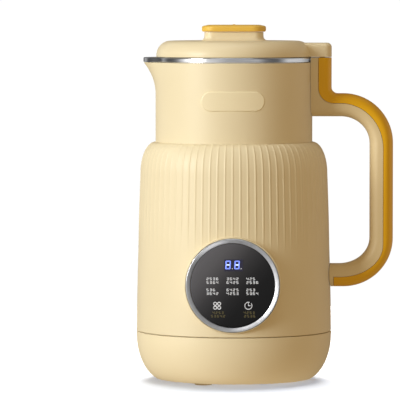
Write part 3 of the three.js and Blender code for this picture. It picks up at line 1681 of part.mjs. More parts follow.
// Lid
add("lid_cover", lidCover(), cream);
add("lid_base", lidBase(), ivory);
add("lid_gasket", lidGasket(), silicone);
add("knob_cap", knobCap(), amber);
const plugBottom = lidBottom - plugDepth;
const overflow = revolve([
  [0, plugBottom - overflowDrop],
  [overflowRadius - overflowEdge, plugBottom - overflowDrop],
  [overflowRadius, plugBottom - overflowDrop + overflowEdge],
  [overflowRadius, plugBottom + plugFloor + fit],
  [overflowRadius + overflowLip, plugBottom + plugFloor + fit],
  [overflowRadius + overflowLip, plugBottom + plugFloor + fit + overflowHead],
  [0, plugBottom + plugFloor + fit + overflowHead],
], screwSteps);
add("overflow_probe", moved(overflow, -overflowReach, 0), steel);

const soyMilkMaker = new THREE.Group();
soyMilkMaker.add(jug);

export default soyMilkMaker;
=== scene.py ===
import json
import math

import bmesh
import bpy
from mathutils import Matrix, Vector

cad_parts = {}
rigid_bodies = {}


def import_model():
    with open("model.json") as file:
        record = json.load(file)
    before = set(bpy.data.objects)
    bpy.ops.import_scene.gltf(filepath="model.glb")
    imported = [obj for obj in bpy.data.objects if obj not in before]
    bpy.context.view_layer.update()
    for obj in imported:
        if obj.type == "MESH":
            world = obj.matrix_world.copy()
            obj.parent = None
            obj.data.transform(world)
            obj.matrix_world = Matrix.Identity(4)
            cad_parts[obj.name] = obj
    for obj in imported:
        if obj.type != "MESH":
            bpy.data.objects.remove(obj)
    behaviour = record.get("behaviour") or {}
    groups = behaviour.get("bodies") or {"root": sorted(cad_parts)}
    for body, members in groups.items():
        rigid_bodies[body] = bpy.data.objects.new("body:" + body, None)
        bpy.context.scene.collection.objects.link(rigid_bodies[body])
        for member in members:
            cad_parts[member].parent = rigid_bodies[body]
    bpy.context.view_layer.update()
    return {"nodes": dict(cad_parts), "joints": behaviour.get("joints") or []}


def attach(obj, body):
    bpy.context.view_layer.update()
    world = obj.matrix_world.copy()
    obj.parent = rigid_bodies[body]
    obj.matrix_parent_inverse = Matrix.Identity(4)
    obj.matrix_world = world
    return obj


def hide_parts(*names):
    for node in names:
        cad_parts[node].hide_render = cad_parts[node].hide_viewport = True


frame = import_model()

# Lengths are millimetres from the jug's own axis, with the table at z = 0. AXIS_X alone is in metres
MM = 0.001
SPIN = next(j for j in frame["joints"] if j["name"] == "blade_spin")
AXIS_X = SPIN["pos_m"][0]
# The gap between pieces that fit together, how far a cutter runs past a piece, and the thin walls
FIT = 0.3
OVER = 2.0
WALL = 2.4

# Feet, base, housing and neck
FOOT_STAND = 2.0
FOOT_AT = 43.0
BASE_SCREW_AT = 44.0
FOOT_R = 6.5
VENT_AT = 17.5
BASE_FLOOR = 4.6
BASE_STRAIGHT = 2.6
BASE_REACH = 20.7
BASE_SHARE = 0.95
SEAM_Z = 36.6
SEAM_GAP = 0.5
SEAM_EDGE = 0.35
SEAM_R = 71.1
SHOULDER_R = 68.0
TAPER_POWER = 1.35
SHOULDER_Z = 152.0
SHOULDER_RISE = 22.5
NECK_R = 57.2
NECK_Z = 174.5
HOUSING_WALL = 2.5
RIDGES = 78
RIDGE_RISE = 0.27
RIDGE_FOOT = 0.19
FADE_Z = 96.2
FADE_LENGTH = 22.0
INLET_Z = 57.6

# Cup and spout
CUP_R = 53.0
CUP_WALL = 1.0
CUP_CORNER = 10.0
CUP_HOLE_R = 10.3
CUP_UNDER = 97.0
RIM_Z = 236.2
RIM_HEIGHT = 3.4
RING_STEPS = 240
SPOUT_REACH = 8.9
SPOUT_DROP = 27.2
SPOUT_HALF = math.radians(27)
SPOUT_POWER = 2.1
SLEEVE_R = 55.0

# Badge, whose face is flatter than the neck and rounded off along its border
BADGE_Z = 205.2
BADGE_HIGH = 14.4
BADGE_LONG = 46
BADGE_R = 84
BADGE_RISE = 0.5
BADGE_EDGE = 0.9

# Panel
PANEL_Z = 74.2
PANEL_Y = SEAM_R + 1
SEAT_Y = PANEL_Y - 3.7
WINDOW_R = 30.1
BEZEL_IN = 30.4
BEZEL_R = 33.5
BOSS_R = 34.5
OPENING_R = 26.7
POCKET_R = 31.0
POST_AT = 29.05
POST_R = 2.1

# Handle
RISER_X = 71.2
RISER_SEAM = 61.6
RISER_TOP = 236.0
OUTER_X = 116.0
SEAM_X = 108.8
INNER_X = 99.1
GRIP_TOP = 209.9
CREAM_TOP = 203.0
INNER_TOP = 193.2
GRIP_BOTTOM = 69.1
CREAM_BOTTOM = 76.3
INNER_BOTTOM = 85.5
# The handle's lines: top, right and bottom, and the radii across and down of the two bends
OUTER_LINE = (GRIP_TOP, OUTER_X, GRIP_BOTTOM, (36.0, 36.0), (36.0, 35.5))
SEAM_LINE = (CREAM_TOP, SEAM_X, CREAM_BOTTOM, (31.0, 33.0), (31.0, 23.5))
INNER_LINE = (INNER_TOP, INNER_X, INNER_BOTTOM, (21.0, 20.0), (22.0, 19.0))
HANDLE_WIDTH = 27.0
HANDLE_BEVEL = 6.3
HANDLE_DEPTH = 9.0
# The seam is stepped at the handle's middle, so that it can't be seen through
SEAM_STEP = 1.3
# The screws and the lead of the handle, and the plunger of the lid switch
NECK_SCREW_Z = 207.0
ARM_SCREW_Y = -5.0
ARM_Z = (INNER_BOTTOM + GRIP_BOTTOM) / 2
BORE_R = 1.65
HOLE_R = 1.8
LEAD_R = 1.7
PLUNGER_X = 64.45

# Lid
LID_Z = 236.5
LID_TOP = 248.2
LID_R = 56.7
LID_EDGE = 10.3
TAB_TOP = 246.7
TAB_START = 48.0
KNOB_TOP = 254.5
CAP_Z = 254.8


# Outlines
def arc(cx, cy, rx, ry, start, end, steps):
    """Points of an elliptical arc between two angles in degrees."""
    turns = [math.radians(start + (end - start) * i / steps) for i in range(steps + 1)]
    return [(cx + rx * math.cos(t), cy + ry * math.sin(t)) for t in turns]


def rounded(corners, steps=5):
    """A closed outline whose corners (x, y, radius) are turned into arcs."""
    out = []
    count = len(corners)
    for i, corner in enumerate(corners):
        here = Vector(corner[:2])
        radius = corner[2] if len(corner) > 2 else 0
        if not radius:
            out.append((here.x, here.y))
            continue
        before = (Vector(corners[i - 1][:2]) - here).normalized()
        after = (Vector(corners[(i + 1) % count][:2]) - here).normalized()
        half = before.angle(after) / 2
        centre = here + (before + after).normalized() * radius / math.sin(half)
        start = here + before * radius / math.tan(half) - centre
        end = here + after * radius / math.tan(half) - centre
        sweep = start.angle_signed(end)
        for k in range(steps + 1):
            point = centre + Matrix.Rotation(-sweep * k / steps, 2) @ start
            out.append((point.x, point.y))
    return out


def round_box(width, depth, corner, steps=6):
    """A rectangle with round corners about the origin."""
    x, y = width / 2 - corner, depth / 2 - corner
    spots = ((x, y, 0), (-x, y, 90), (-x, -y, 180), (x, -y, 270))
    return [p for cx, cy, t in spots for p in arc(cx, cy, corner, corner, t, t + 90, steps)]


def circle(radius, steps):
    return arc(0, 0, radius, radius, 0, 360 - 360 / steps, steps - 1)


# Meshes
def build(name, places, faces, merge=1e-4):
    """A closed mesh from points in millimetres, with its faces turned outwards."""
    mesh = bpy.data.meshes.new(name)
    mesh.from_pydata([(x * MM + AXIS_X, y * MM, z * MM) for x, y, z in places], [], faces)
    grid = bmesh.new()
    grid.from_mesh(mesh)
    bmesh.ops.remove_doubles(grid, verts=grid.verts, dist=merge * MM)
    bmesh.ops.dissolve_degenerate(grid, edges=grid.edges, dist=merge * MM)
    bmesh.ops.recalc_face_normals(grid, faces=grid.faces)
    grid.to_mesh(mesh)
    grid.free()
    item = bpy.data.objects.new(name, mesh)
    bpy.context.scene.collection.objects.link(item)
    return item


def skin(name, rings, closed=False):
    """Joins rings of as many points each; a closed skin runs on from the last ring to the first."""
    count = len(rings[0])
    faces = []
    for r in range(len(rings) - (0 if closed else 1)):
        here, there = r * count, ((r + 1) % len(rings)) * count
        for i in range(count):
            j = (i + 1) % count
            faces.append((here + i, here + j, there + j, there + i))
    if not closed:
        faces.append(tuple(range(count)))
        faces.append(tuple(range((len(rings) - 1) * count, len(rings) * count)))
    return build(name, [p for ring in rings for p in ring], faces)


def lathe(name, profile, steps=128, closed=None):
    """Turns a profile of (radius, height) about the axis; it's closed if it stays clear of the axis."""
    turns = [2 * math.pi * i / steps for i in range(steps)]
    rings = [[(r * math.cos(t), r * math.sin(t), z) for t in turns] for r, z in profile]
    if closed is None:
        closed = min(profile[0][0], profile[-1][0]) > 0
    return skin(name, rings, closed)


def prism(name, outline, low, high):
    return skin(name, [[(x, y, z) for x, y in outline] for z in (low, high)])


def block(name, low, high):
    (x0, y0, z0), (x1, y1, z1) = low, high
    return prism(name, [(x0, y0), (x1, y0), (x1, y1), (x0, y1)], z0, z1)


def rod(name, radius, low, high, steps=32):
    return prism(name, circle(radius, steps), low, high)


def turn(item, axis, angle, move=(0, 0, 0)):
    """Turns a mesh about the jug's axis lines, then moves it, in millimetres."""
    base = Matrix.Translation((AXIS_X, 0, 0))
    spin = Matrix.Rotation(math.radians(angle), 4, axis)
    item.data.transform(base @ Matrix.Translation(Vector(move) * MM) @ spin @ base.inverted())
    return item


def shift(item, distance):
    return turn(item, "Z", 0, (distance, 0, 0))


def around(item, distance, angle):
    """Moves a mesh off the axis and then turns it about the axis."""
    return turn(shift(item, distance), "Z", angle)


def facing(item):
    """Turns a mesh that was made along Z to look out of the panel."""
    return turn(item, "X", 90, (0, 0, PANEL_Z))


def level_rod(radius, start, end, y, z, steps=24):
    """A rod along X between two distances from the axis."""
    return turn(rod("level_rod", radius, start, end, steps), "Y", 90, (0, y, z))


def carve(item, *tools, how="DIFFERENCE"):
    """Cuts, joins or trims a mesh by others, which are then removed."""
    for tool in tools:
        change = item.modifiers.new("carve", "BOOLEAN")
        change.operation = how
        change.solver = "MANIFOLD"
        change.object = tool
        bpy.context.view_layer.update()
        shaped = item.evaluated_get(bpy.context.evaluated_depsgraph_get())
        mesh = bpy.data.meshes.new_from_object(shaped)
        item.modifiers.clear()
        item.data = mesh
        bpy.data.objects.remove(tool)
    return item


# Materials
def material(name):
    """A new material with its nodes, its links and its shader."""
    made = bpy.data.materials.new(name)
    made.use_nodes = True
    nodes, links = made.node_tree.nodes, made.node_tree.links
    return made, nodes, links, nodes["Principled BSDF"]


def put(nodes, kind, **values):
    """A node with its sockets and settings; an underscore stands for a space in a socket's name."""
    node = nodes.new(kind)
    for key, value in values.items():
        socket = node.inputs.get(key.replace("_", " "))
        if socket is not None and not hasattr(node, key):
            socket.default_value = value
        else:
            setattr(node, key, value)
    return node


def ramp(nodes, stops):
    """A colour ramp from pairs of place and colour."""
    node = nodes.new("ShaderNodeValToRGB")
    row = node.color_ramp.elements
    while len(row) < len(stops):
        row.new(0.5)
    for element, (place, colour) in zip(row, stops):
        element.position = place
        element.color = (*colour, 1)
    return node


def grained(name, dark, light, rough, grain=0.004, size=900, metal=0.0, **more):
    """A moulded or cast surface: slow colour drift, mottled gloss and a fine grain in the bump."""
    made, nodes, links, shader = material(name)
    place = nodes.new("ShaderNodeTexCoord")
    drift = put(nodes, "ShaderNodeTexNoise", Scale=22.0, Detail=3.0)
    colour = ramp(nodes, [(0.3, dark), (0.7, light)])
    mottle = put(nodes, "ShaderNodeTexNoise", Scale=140.0, Detail=4.0)
    gloss = put(nodes, "ShaderNodeMapRange", To_Min=rough - 0.04, To_Max=rough + 0.05)
    fine = put(nodes, "ShaderNodeTexNoise", Scale=float(size), Detail=2.0)
    bump = put(nodes, "ShaderNodeBump", Distance=0.0004, Strength=min(1.0, grain * 20))
    for texture in (drift, mottle, fine):
        links.new(place.outputs["Object"], texture.inputs["Vector"])
    links.new(drift.outputs["Fac"], colour.inputs["Fac"])
    links.new(colour.outputs["Color"], shader.inputs["Base Color"])
    links.new(mottle.outputs["Fac"], gloss.inputs["Value"])
    links.new(gloss.outputs["Result"], shader.inputs["Roughness"])
    links.new(fine.outputs["Fac"], bump.inputs["Height"])
    links.new(bump.outputs["Normal"], shader.inputs["Normal"])
    shader.inputs["Metallic"].default_value = metal
    for key, value in more.items():
        shader.inputs[key.replace("_", " ")].default_value = value
    return made


def brushed(name, dark, light, rough, stretch, grain=0.08):
    """A metal with fine lines that run along the axes with a small stretch."""
    made, nodes, links, shader = material(name)
    place = nodes.new("ShaderNodeTexCoord")
    mapping = put(nodes, "ShaderNodeMapping", Scale=stretch)
    lines = put(nodes, "ShaderNodeTexNoise", Scale=1.0, Detail=5.0)
    colour = ramp(nodes, [(0.35, dark), (0.65, light)])
    gloss = put(nodes, "ShaderNodeMapRange", To_Min=rough * 0.8, To_Max=rough * 1.25)
    bump = put(nodes, "ShaderNodeBump", Distance=0.0002, Strength=grain)
    links.new(place.outputs["Object"], mapping.inputs["Vector"])
    links.new(mapping.outputs["Vector"], lines.inputs["Vector"])
    links.new(lines.outputs["Fac"], colour.inputs["Fac"])
    links.new(lines.outputs["Fac"], gloss.inputs["Value"])
    links.new(lines.outputs["Fac"], bump.inputs["Height"])
    links.new(colour.outputs["Color"], shader.inputs["Base Color"])
    links.new(gloss.outputs["Result"], shader.inputs["Roughness"])
    links.new(bump.outputs["Normal"], shader.inputs["Normal"])
    shader.inputs["Metallic"].default_value = 1.0
    return made


def satin_inside(made, low, high):
    """Turns a polished metal satin below a height, where it would only mirror its own far wall."""
    nodes, links = made.node_tree.nodes, made.node_tree.links
    place, split = nodes.new("ShaderNodeTexCoord"), nodes.new("ShaderNodeSeparateXYZ")
    metal = put(nodes, "ShaderNodeMapRange", From_Min=low, From_Max=high, To_Min=0.35, To_Max=1.0)
    links.new(place.outputs["Object"], split.inputs["Vector"])
    links.new(split.outputs["Z"], metal.inputs["Value"])
    links.new(metal.outputs["Result"], nodes["Principled BSDF"].inputs["Metallic"])


def window_finish():
    """The window: its colour is a painted reflection, grey at its upper left and running down to black,
    with a polished face.
    """
    made, nodes, links, shader = material("smoked_window")
    place = nodes.new("ShaderNodeTexCoord")
    split = nodes.new("ShaderNodeSeparateXYZ")
    # The place on the ramp is a half at the panel's middle, and changes by these for each metre
    right, up = -11.0, 10.0
    across = put(nodes, "ShaderNodeMath", operation="MULTIPLY_ADD")
    across.inputs[1].default_value = right
    across.inputs[2].default_value = right * -AXIS_X + 0.5 - up * PANEL_Z * MM
    total = put(nodes, "ShaderNodeMath", operation="MULTIPLY_ADD")
    total.inputs[1].default_value = up
    # This grey to black ramp is a painted reflection laid into the window's colour
    shades = [(0.12, 0.002), (0.28, 0.004), (0.36, 0.009), (0.42, 0.014), (0.5, 0.025)]
    shades += [(0.6, 0.042), (0.72, 0.078), (0.8, 0.1), (0.9, 0.116)]
    colour = ramp(nodes, [(spot, (v, v, v * 1.12)) for spot, v in shades])
    haze = put(nodes, "ShaderNodeTexNoise", Scale=60.0, Detail=2.0)
    gloss = put(nodes, "ShaderNodeMapRange", To_Min=0.2, To_Max=0.28)
    links.new(place.outputs["Object"], split.inputs["Vector"])
    links.new(split.outputs["X"], across.inputs[0])
    links.new(split.outputs["Z"], total.inputs[0])
    links.new(across.outputs["Value"], total.inputs[2])
    links.new(total.outputs["Value"], colour.inputs["Fac"])
    links.new(colour.outputs["Color"], shader.inputs["Base Color"])
    links.new(place.outputs["Object"], haze.inputs["Vector"])
    links.new(haze.outputs["Fac"], gloss.inputs["Value"])
    links.new(gloss.outputs["Result"], shader.inputs["Roughness"])
    shader.inputs["Specular IOR Level"].default_value = 0.3
    return made


def glowing(name, colour, strength):
    """A lit or printed mark: slightly uneven in its brightness."""
    made, nodes, links, shader = material(name)
    place = nodes.new("ShaderNodeTexCoord")
    uneven = put(nodes, "ShaderNodeTexNoise", Scale=700.0, Detail=1.0)
    dim = tuple(c * 0.8 for c in colour)
    shade = ramp(nodes, [(0.3, dim), (0.7, colour)])
    links.new(place.outputs["Object"], uneven.inputs["Vector"])
    links.new(uneven.outputs["Fac"], shade.inputs["Fac"])
    links.new(shade.outputs["Color"], shader.inputs["Base Color"])
    links.new(shade.outputs["Color"], shader.inputs["Emission Color"])
    shader.inputs["Emission Strength"].default_value = strength
    shader.inputs["Roughness"].default_value = 0.5
    return made


def moulded(name, dark, light, rough, specular=0.4):
    return grained(name, dark, light, rough, Specular_IOR_Level=specular)


CREAM = moulded("cream_moulding", (0.79, 0.67, 0.43), (0.81, 0.69, 0.45), 0.46)
CREAM_GLOSS = moulded("cream_lid", (0.79, 0.67, 0.43), (0.81, 0.69, 0.45), 0.36, 0.3)
# The badge's cream is lighter than the housing's: painted light, standing in for the light its raised
# face catches
CREAM_PAINTED_LIGHT = moulded("cream_badge", (0.85, 0.73, 0.47), (0.87, 0.75, 0.49), 0.42)
AMBER = moulded("amber_moulding", (0.85, 0.48, 0.006), (0.87, 0.495, 0.01), 0.42)
# The cap's amber is greyer and bluer than the grip's: a painted sheen, standing in for the gloss on the
# lit cap
AMBER_CAP_PAINTED_SHEEN = moulded("amber_cap", (0.79, 0.49, 0.07), (0.81, 0.505, 0.08), 0.45)
IVORY = grained("ivory_moulding", (0.72, 0.68, 0.55), (0.76, 0.72, 0.6), 0.55)
BLACK = grained("black_moulding", (0.022, 0.022, 0.024), (0.032, 0.032, 0.034), 0.55)
RUBBER = grained("rubber_foot", (0.4, 0.33, 0.21), (0.47, 0.39, 0.25), 0.8, grain=0.02, size=600)
SILICONE = grained("silicone_seal", (0.68, 0.66, 0.6), (0.74, 0.72, 0.66), 0.6, Subsurface_Weight=0.15)
CARBON = grained("pressed_carbon", (0.03, 0.03, 0.032), (0.05, 0.05, 0.054), 0.6, grain=0.03)
BOARD = grained("circuit_board", (0.012, 0.085, 0.035), (0.02, 0.12, 0.05), 0.4, size=300)
ALUMINIUM = grained("cast_aluminium", (0.4, 0.4, 0.42), (0.52, 0.52, 0.54), 0.45, 0.02, 500, 1.0)
COPPER = brushed("wound_copper", (0.55, 0.2, 0.09), (0.8, 0.34, 0.17), 0.35, (300, 300, 2600))
BRONZE = brushed("bearing_bronze", (0.5, 0.3, 0.12), (0.62, 0.4, 0.18), 0.35, (400, 400, 1500))
STEEL = brushed("ground_steel", (0.46, 0.47, 0.49), (0.62, 0.63, 0.65), 0.3, (300, 300, 2400))
LAMINATED = brushed("stacked_steel", (0.2, 0.2, 0.21), (0.42, 0.42, 0.44), 0.45, (60, 60, 3000))
CUP = brushed("cup_steel", (0.6, 0.6, 0.61), (0.72, 0.72, 0.73), 0.16, (60, 60, 1800), grain=0.03)
BEZEL = brushed("bezel_silver", (0.62, 0.62, 0.63), (0.7, 0.7, 0.71), 0.3, (260, 260, 260))
# Below the rim's polished band the cup turns satin
satin_inside(CUP, (RIM_Z - 9) * MM, (RIM_Z - 4.5) * MM)
WINDOW = window_finish()
DIGITS = glowing("lit_digit", (0.2, 0.3, 1.0), 0.75)
BARS = glowing("lit_bar", (0.6, 0.75, 1.0), 0.9)
GLOW = glowing("digit_glow", (0.012, 0.011, 0.028), 0.5)
MARKS = glowing("white_mark", (0.6, 0.62, 0.65), 0.42)
DIM = glowing("olive_mark", (0.09, 0.075, 0.03), 0.2)
SLOTS = {
    "cream_plastic": CREAM,
    "amber_plastic": AMBER,
    "ivory_plastic": IVORY,
    "black_plastic": BLACK,
    "panel_glass": WINDOW,
    "bezel_metal": BEZEL,
    "cup_steel": CUP,
    "steel": STEEL,
    "aluminium": ALUMINIUM,
    "copper": COPPER,
    "bronze": BRONZE,
    "carbon": CARBON,
    "board": BOARD,
    "silicone": SILICONE,
    "rubber": RUBBER,
}


def finish(item, body, slot, *nodes, paint=None, angle=32):
    """Gives a piece its finish, its body and the nodes that it stands for."""
    item.data.shade_smooth()
    item.data.set_sharp_from_angle(angle=math.radians(angle))
    item.data.materials.clear()
    item.data.materials.append(paint or SLOTS[slot])
    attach(item, body)
    if nodes:
        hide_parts(*nodes)


# Housing, base and feet
def housing_radius(z):
    """The housing's radius between its ridges."""
    if z > SHOULDER_Z:
        rise = min(1.0, (z - SHOULDER_Z) / SHOULDER_RISE)
        return NECK_R + (SHOULDER_R - NECK_R) * math.sqrt(1 - rise * rise)
    share = max(0.0, (z - SEAM_Z) / (SHOULDER_Z - SEAM_Z))
    return SEAM_R - (SEAM_R - SHOULDER_R) * share**TAPER_POWER


def ridge_columns():
    """Angles round the housing, close together on each ridge, with the ridge's height at each."""
    pitch = 2 * math.pi / RIDGES
    shares = [-1, -0.75, -0.5, -0.25, 0, 0.25, 0.5, 0.75, 1]
    spots = [(s * RIDGE_FOOT, (1 + math.cos(math.pi * s)) / 2) for s in shares]
    spots += [(0.345, 0.0), (0.5, 0.0), (0.655, 0.0)]
    return [((i + t) * pitch - math.pi / 2, h) for i in range(RIDGES) for t, h in spots]


def outer_housing():
    """The ridged shell with the panel's seat, the inlet's pad and the boss for the handle's arm."""
    columns = ridge_columns()

    def ring(radius, z, ridge=0.0):
        spots = [(t, radius + ridge * h) for t, h in columns]
        return [(r * math.cos(t), r * math.sin(t), z) for t, r in spots]

    bottom = SEAM_Z + SEAM_GAP / 2
    levels = [bottom + SEAM_EDGE, 45, 56, 67, 78, 89]
    levels += [FADE_Z + FADE_LENGTH * i / 8 for i in range(9)] + [125, 134, 143]
    rings = [ring(housing_radius(bottom) - SEAM_EDGE, bottom)]
    for z in levels:
        share = min(1.0, max(0.0, (z - FADE_Z) / FADE_LENGTH))
        rings.append(ring(housing_radius(z), z, RIDGE_RISE * share))
    for i in range(15):
        t = math.radians(87 * i / 14)
        z = SHOULDER_Z + SHOULDER_RISE * math.sin(t)
        rings.append(ring(housing_radius(z), z, RIDGE_RISE))
    rings.append(ring(NECK_R + FIT, NECK_Z - 0.1))
    rings.append(ring(NECK_R + FIT, NECK_Z - HOUSING_WALL))
    reach = SHOULDER_R - NECK_R - HOUSING_WALL - FIT
    for r, z in arc(NECK_R + FIT, SHOULDER_Z - HOUSING_WALL, reach, SHOULDER_RISE, 78, 12, 4):
        rings.append(ring(r, z))
    rings.append(ring(SHOULDER_R - HOUSING_WALL, SHOULDER_Z - HOUSING_WALL))
    rings.append(ring(SEAM_R - HOUSING_WALL, bottom))
    shell = skin("outer_housing_skin", rings, closed=True)

    # The panel's boss, its seat and opening, and the three posts between its ledge and the board
    boss_profile = rounded([(0, 52), (BOSS_R, 52), (BOSS_R, PANEL_Y, 0.5), (0, PANEL_Y)])
    carve(shell, facing(lathe("boss", boss_profile)), how="UNION")
    cuts = [
        facing(rod("seat", BEZEL_R + FIT, PANEL_Y - 4, PANEL_Y + 3, 128)),
        facing(rod("opening", OPENING_R, 50, PANEL_Y, 64)),
        facing(rod("pocket", POCKET_R, 48, PANEL_Y - 6, 64)),
    ]
    carve(shell, *cuts)
    for angle in (30, 150, 270):
        x = POST_AT * math.cos(math.radians(angle))
        z = POST_AT * math.sin(math.radians(angle))
        post = rod("post", POST_R, PANEL_Y - 10.5, PANEL_Y - 5, 24)
        turn(post, "X", 90, (x, 0, z + PANEL_Z))
        carve(shell, post, how="UNION")

    # The inlet's pad on the back, its recess and the way through
    pad = prism("pad", round_box(38, 30.2, 6.2), -PANEL_Y, -60)
    carve(shell, turn(pad, "X", 90, (0, 0, INLET_Z)), how="UNION")
    room = prism("room", round_box(32.2, 24.4, 3), -PANEL_Y - OVER, 2.2 - PANEL_Y)
    through = prism("through", round_box(28.2, 20.4, 3), -PANEL_Y, -50)
    carve(shell, *[turn(t, "X", 90, (0, 0, INLET_Z)) for t in (room, through)])

    # The boss for the screw of the handle's lower arm, with the screw's bore and the lead's port
    inside = SEAM_R - HOUSING_WALL
    carve(shell, level_rod(4, inside - 4.5, inside + 1.2, ARM_SCREW_Y, ARM_Z, 32), how="UNION")
    carve(shell, level_rod(BORE_R, 60, 74, ARM_SCREW_Y, ARM_Z), level_rod(LEAD_R, 60, 74, 0, ARM_Z))
    finish(shell, "jug", "cream_plastic", "outer_housing")


def base_cover():
    """The bowl below the seam, with its lip, vents, recesses for the feet, screw bosses and two rails."""
    end = math.degrees(math.asin(BASE_SHARE))
    top = SEAM_Z - BASE_STRAIGHT
    floor_reach = SEAM_R - BASE_REACH
    drop = (top - FOOT_STAND) / BASE_SHARE
    rim = SEAM_Z - SEAM_GAP / 2
    lip = SEAM_R - HOUSING_WALL - FIT
    inside = lip - 1.6
    curve = arc(floor_reach, top, BASE_REACH, drop, -end, 0, 30)
    flat = curve[0][0]
    profile = [(0, FOOT_STAND), (flat - 1.6, FOOT_STAND), (flat - 1.2, FOOT_STAND + 0.25)]
    profile += curve + [(SEAM_R, rim - SEAM_EDGE), (SEAM_R - SEAM_EDGE, rim), (lip, rim)]
    profile += [(lip, SEAM_Z + 2.4), (lip - 0.2, SEAM_Z + 2.6), (lip - 1.4, SEAM_Z + 2.6)]
    profile += [(inside, SEAM_Z + 2.4)]
    profile += arc(floor_reach, top, inside - floor_reach, top - BASE_FLOOR, 0, -90, 16)
    bowl = lathe("base_cover_skin", profile + [(0, BASE_FLOOR)], 192)
    for i in range(10):
        carve(bowl, around(prism("vent", round_box(17, 3, 1.45), -1, 8), VENT_AT, 36 * i))
    for i in range(3):
        carve(bowl, around(rod("recess", FOOT_R + FIT, -1, 3.2, 48), FOOT_AT, 120 * i))
        angle = 60 + 120 * i
        carve(bowl, around(rod("boss", 5, 3.3, 7, 40), BASE_SCREW_AT, angle), how="UNION")
        for radius, low, high in ((3.2, -1, 4.5), (1.8, 0, 9)):
            carve(bowl, around(rod("bore", radius, low, high), BASE_SCREW_AT, angle))
    for y in (-22, 22):
        carve(bowl, block("rail", (43.8, y - 2, 3.6), (49.8, y + 2, 15)), how="UNION")
        carve(bowl, block("slot", (45.7, y - 3, 11.7), (47.9, y + 3, 17)))
    finish(bowl, "jug", "cream_plastic", "base_cover")


def feet():
    profile = rounded([(0, 0), (FOOT_R, 0, 0.8), (FOOT_R, 2), (FOOT_R, 3.2), (0, 3.2)])
    for i in range(3):
        foot = lathe(f"foot_{i + 1}_pad", profile, 64)
        carve(foot, lathe("groove", [(3.4, -1), (4.2, -1), (4.2, 0.3), (3.4, 0.3)], 48))
        finish(around(foot, FOOT_AT, 120 * i), "jug", "rubber", f"foot_{i + 1}")


# Neck, spout, badge and cup
def spout(angle, z):
    """How far the spout stands out of the round wall."""
    away = abs(math.pi - angle) / SPOUT_HALF
    rise = min(1.0, (z - RIM_Z + SPOUT_DROP) / (SPOUT_DROP - RIM_HEIGHT))
    if away >= 1 or rise <= 0:
        return 0.0
    return SPOUT_REACH * math.cos(away * math.pi / 2) ** 2 * rise**SPOUT_POWER


def spouted(radius, z, dent=None):
    """One level ring of a wall with the spout's bulge, and with dents in it if they are given."""
    ring = []
    for i in range(RING_STEPS):
        t = 2 * math.pi * i / RING_STEPS
        r = radius + spout(t, z) - (dent(t) if dent else 0)
        ring.append((r * math.cos(t), r * math.sin(t), z))
    return ring


def heights(low, high, steps):
    return [low + (high - low) * i / steps for i in range(steps + 1)]


def neck_sleeve():
    """The sleeve round the cup, with a flange under the housing's shoulder, and the badge on it."""
    top = RIM_Z - RIM_HEIGHT - FIT
    low = NECK_Z - 10.5
    start = RIM_Z - SPOUT_DROP
    flange, ledge = NECK_R + 3.6, low + 2.4
    rings = [spouted(flange, low), spouted(flange, ledge), spouted(NECK_R, ledge)]
    rings += [spouted(NECK_R, z) for z in (low + 9, 184)]
    rings += [spouted(NECK_R, z) for z in heights(start, top - 0.25, 22)]
    rings += [spouted(NECK_R - 0.25, top), spouted(SLEEVE_R, top)]
    rings += [spouted(SLEEVE_R, z) for z in heights(top, start, 12)[1:]]
    rings += [spouted(SLEEVE_R, low)]
    sleeve = skin("neck_sleeve_skin", rings, closed=True)
    carve(sleeve, level_rod(BORE_R, 50, 60, 0, NECK_SCREW_Z))
    carve(sleeve, block("hook_slot", (50, -3.3, INNER_TOP + 3.7), (60, 3.3, INNER_TOP + 6.9)))
    finish(sleeve, "jug", "cream_plastic", "neck_sleeve")
    # The badge pad takes the lighter cream, which is painted light
    finish(badge_pad(), "jug", "cream_plastic", paint=CREAM_PAINTED_LIGHT, angle=60)


def badge_pad():
    """The blank badge: a raised pad with round ends, in upright sections from its left to its right."""
    columns, rows = 72, 40
    half = BADGE_HIGH / 2
    straight = BADGE_LONG / 2 - half
    rings = []
    for i in range(1, columns):
        x = -BADGE_LONG / 2 * math.cos(math.pi * i / columns)
        over = max(0, abs(x) - straight)
        tall = math.sqrt(half**2 - over**2)
        front = math.sqrt(BADGE_R**2 - x**2) - BADGE_R + NECK_R + BADGE_RISE
        ring = []
        for k in range(rows + 1):
            z = tall * math.sin(math.pi * (k / rows - 0.5))
            short = max(0, BADGE_EDGE - half + math.hypot(over, z))
            drop = BADGE_EDGE - math.sqrt(max(0, BADGE_EDGE**2 - short**2))
            ring.append((x, drop - front, BADGE_Z + z))
        deep = math.sqrt((NECK_R - 0.8) ** 2 - x**2)
        ring += [(x, -deep, BADGE_Z + tall), (x, -deep, BADGE_Z - tall)]
        rings.append(ring)
    pad = skin("badge_pad", rings)
    pad.visible_shadow = False
    return pad


def baffle(share):
    """Four upright dents in the cup's wall, a quarter turn apart, at a share of their full depth."""

    def dent(t):
        away = abs((t + math.pi / 4) % (math.pi / 2) - math.pi / 4) / math.radians(12)
        return share * 5 * math.cos(away * math.pi / 2) ** 2 if away < 1 else 0

    return dent


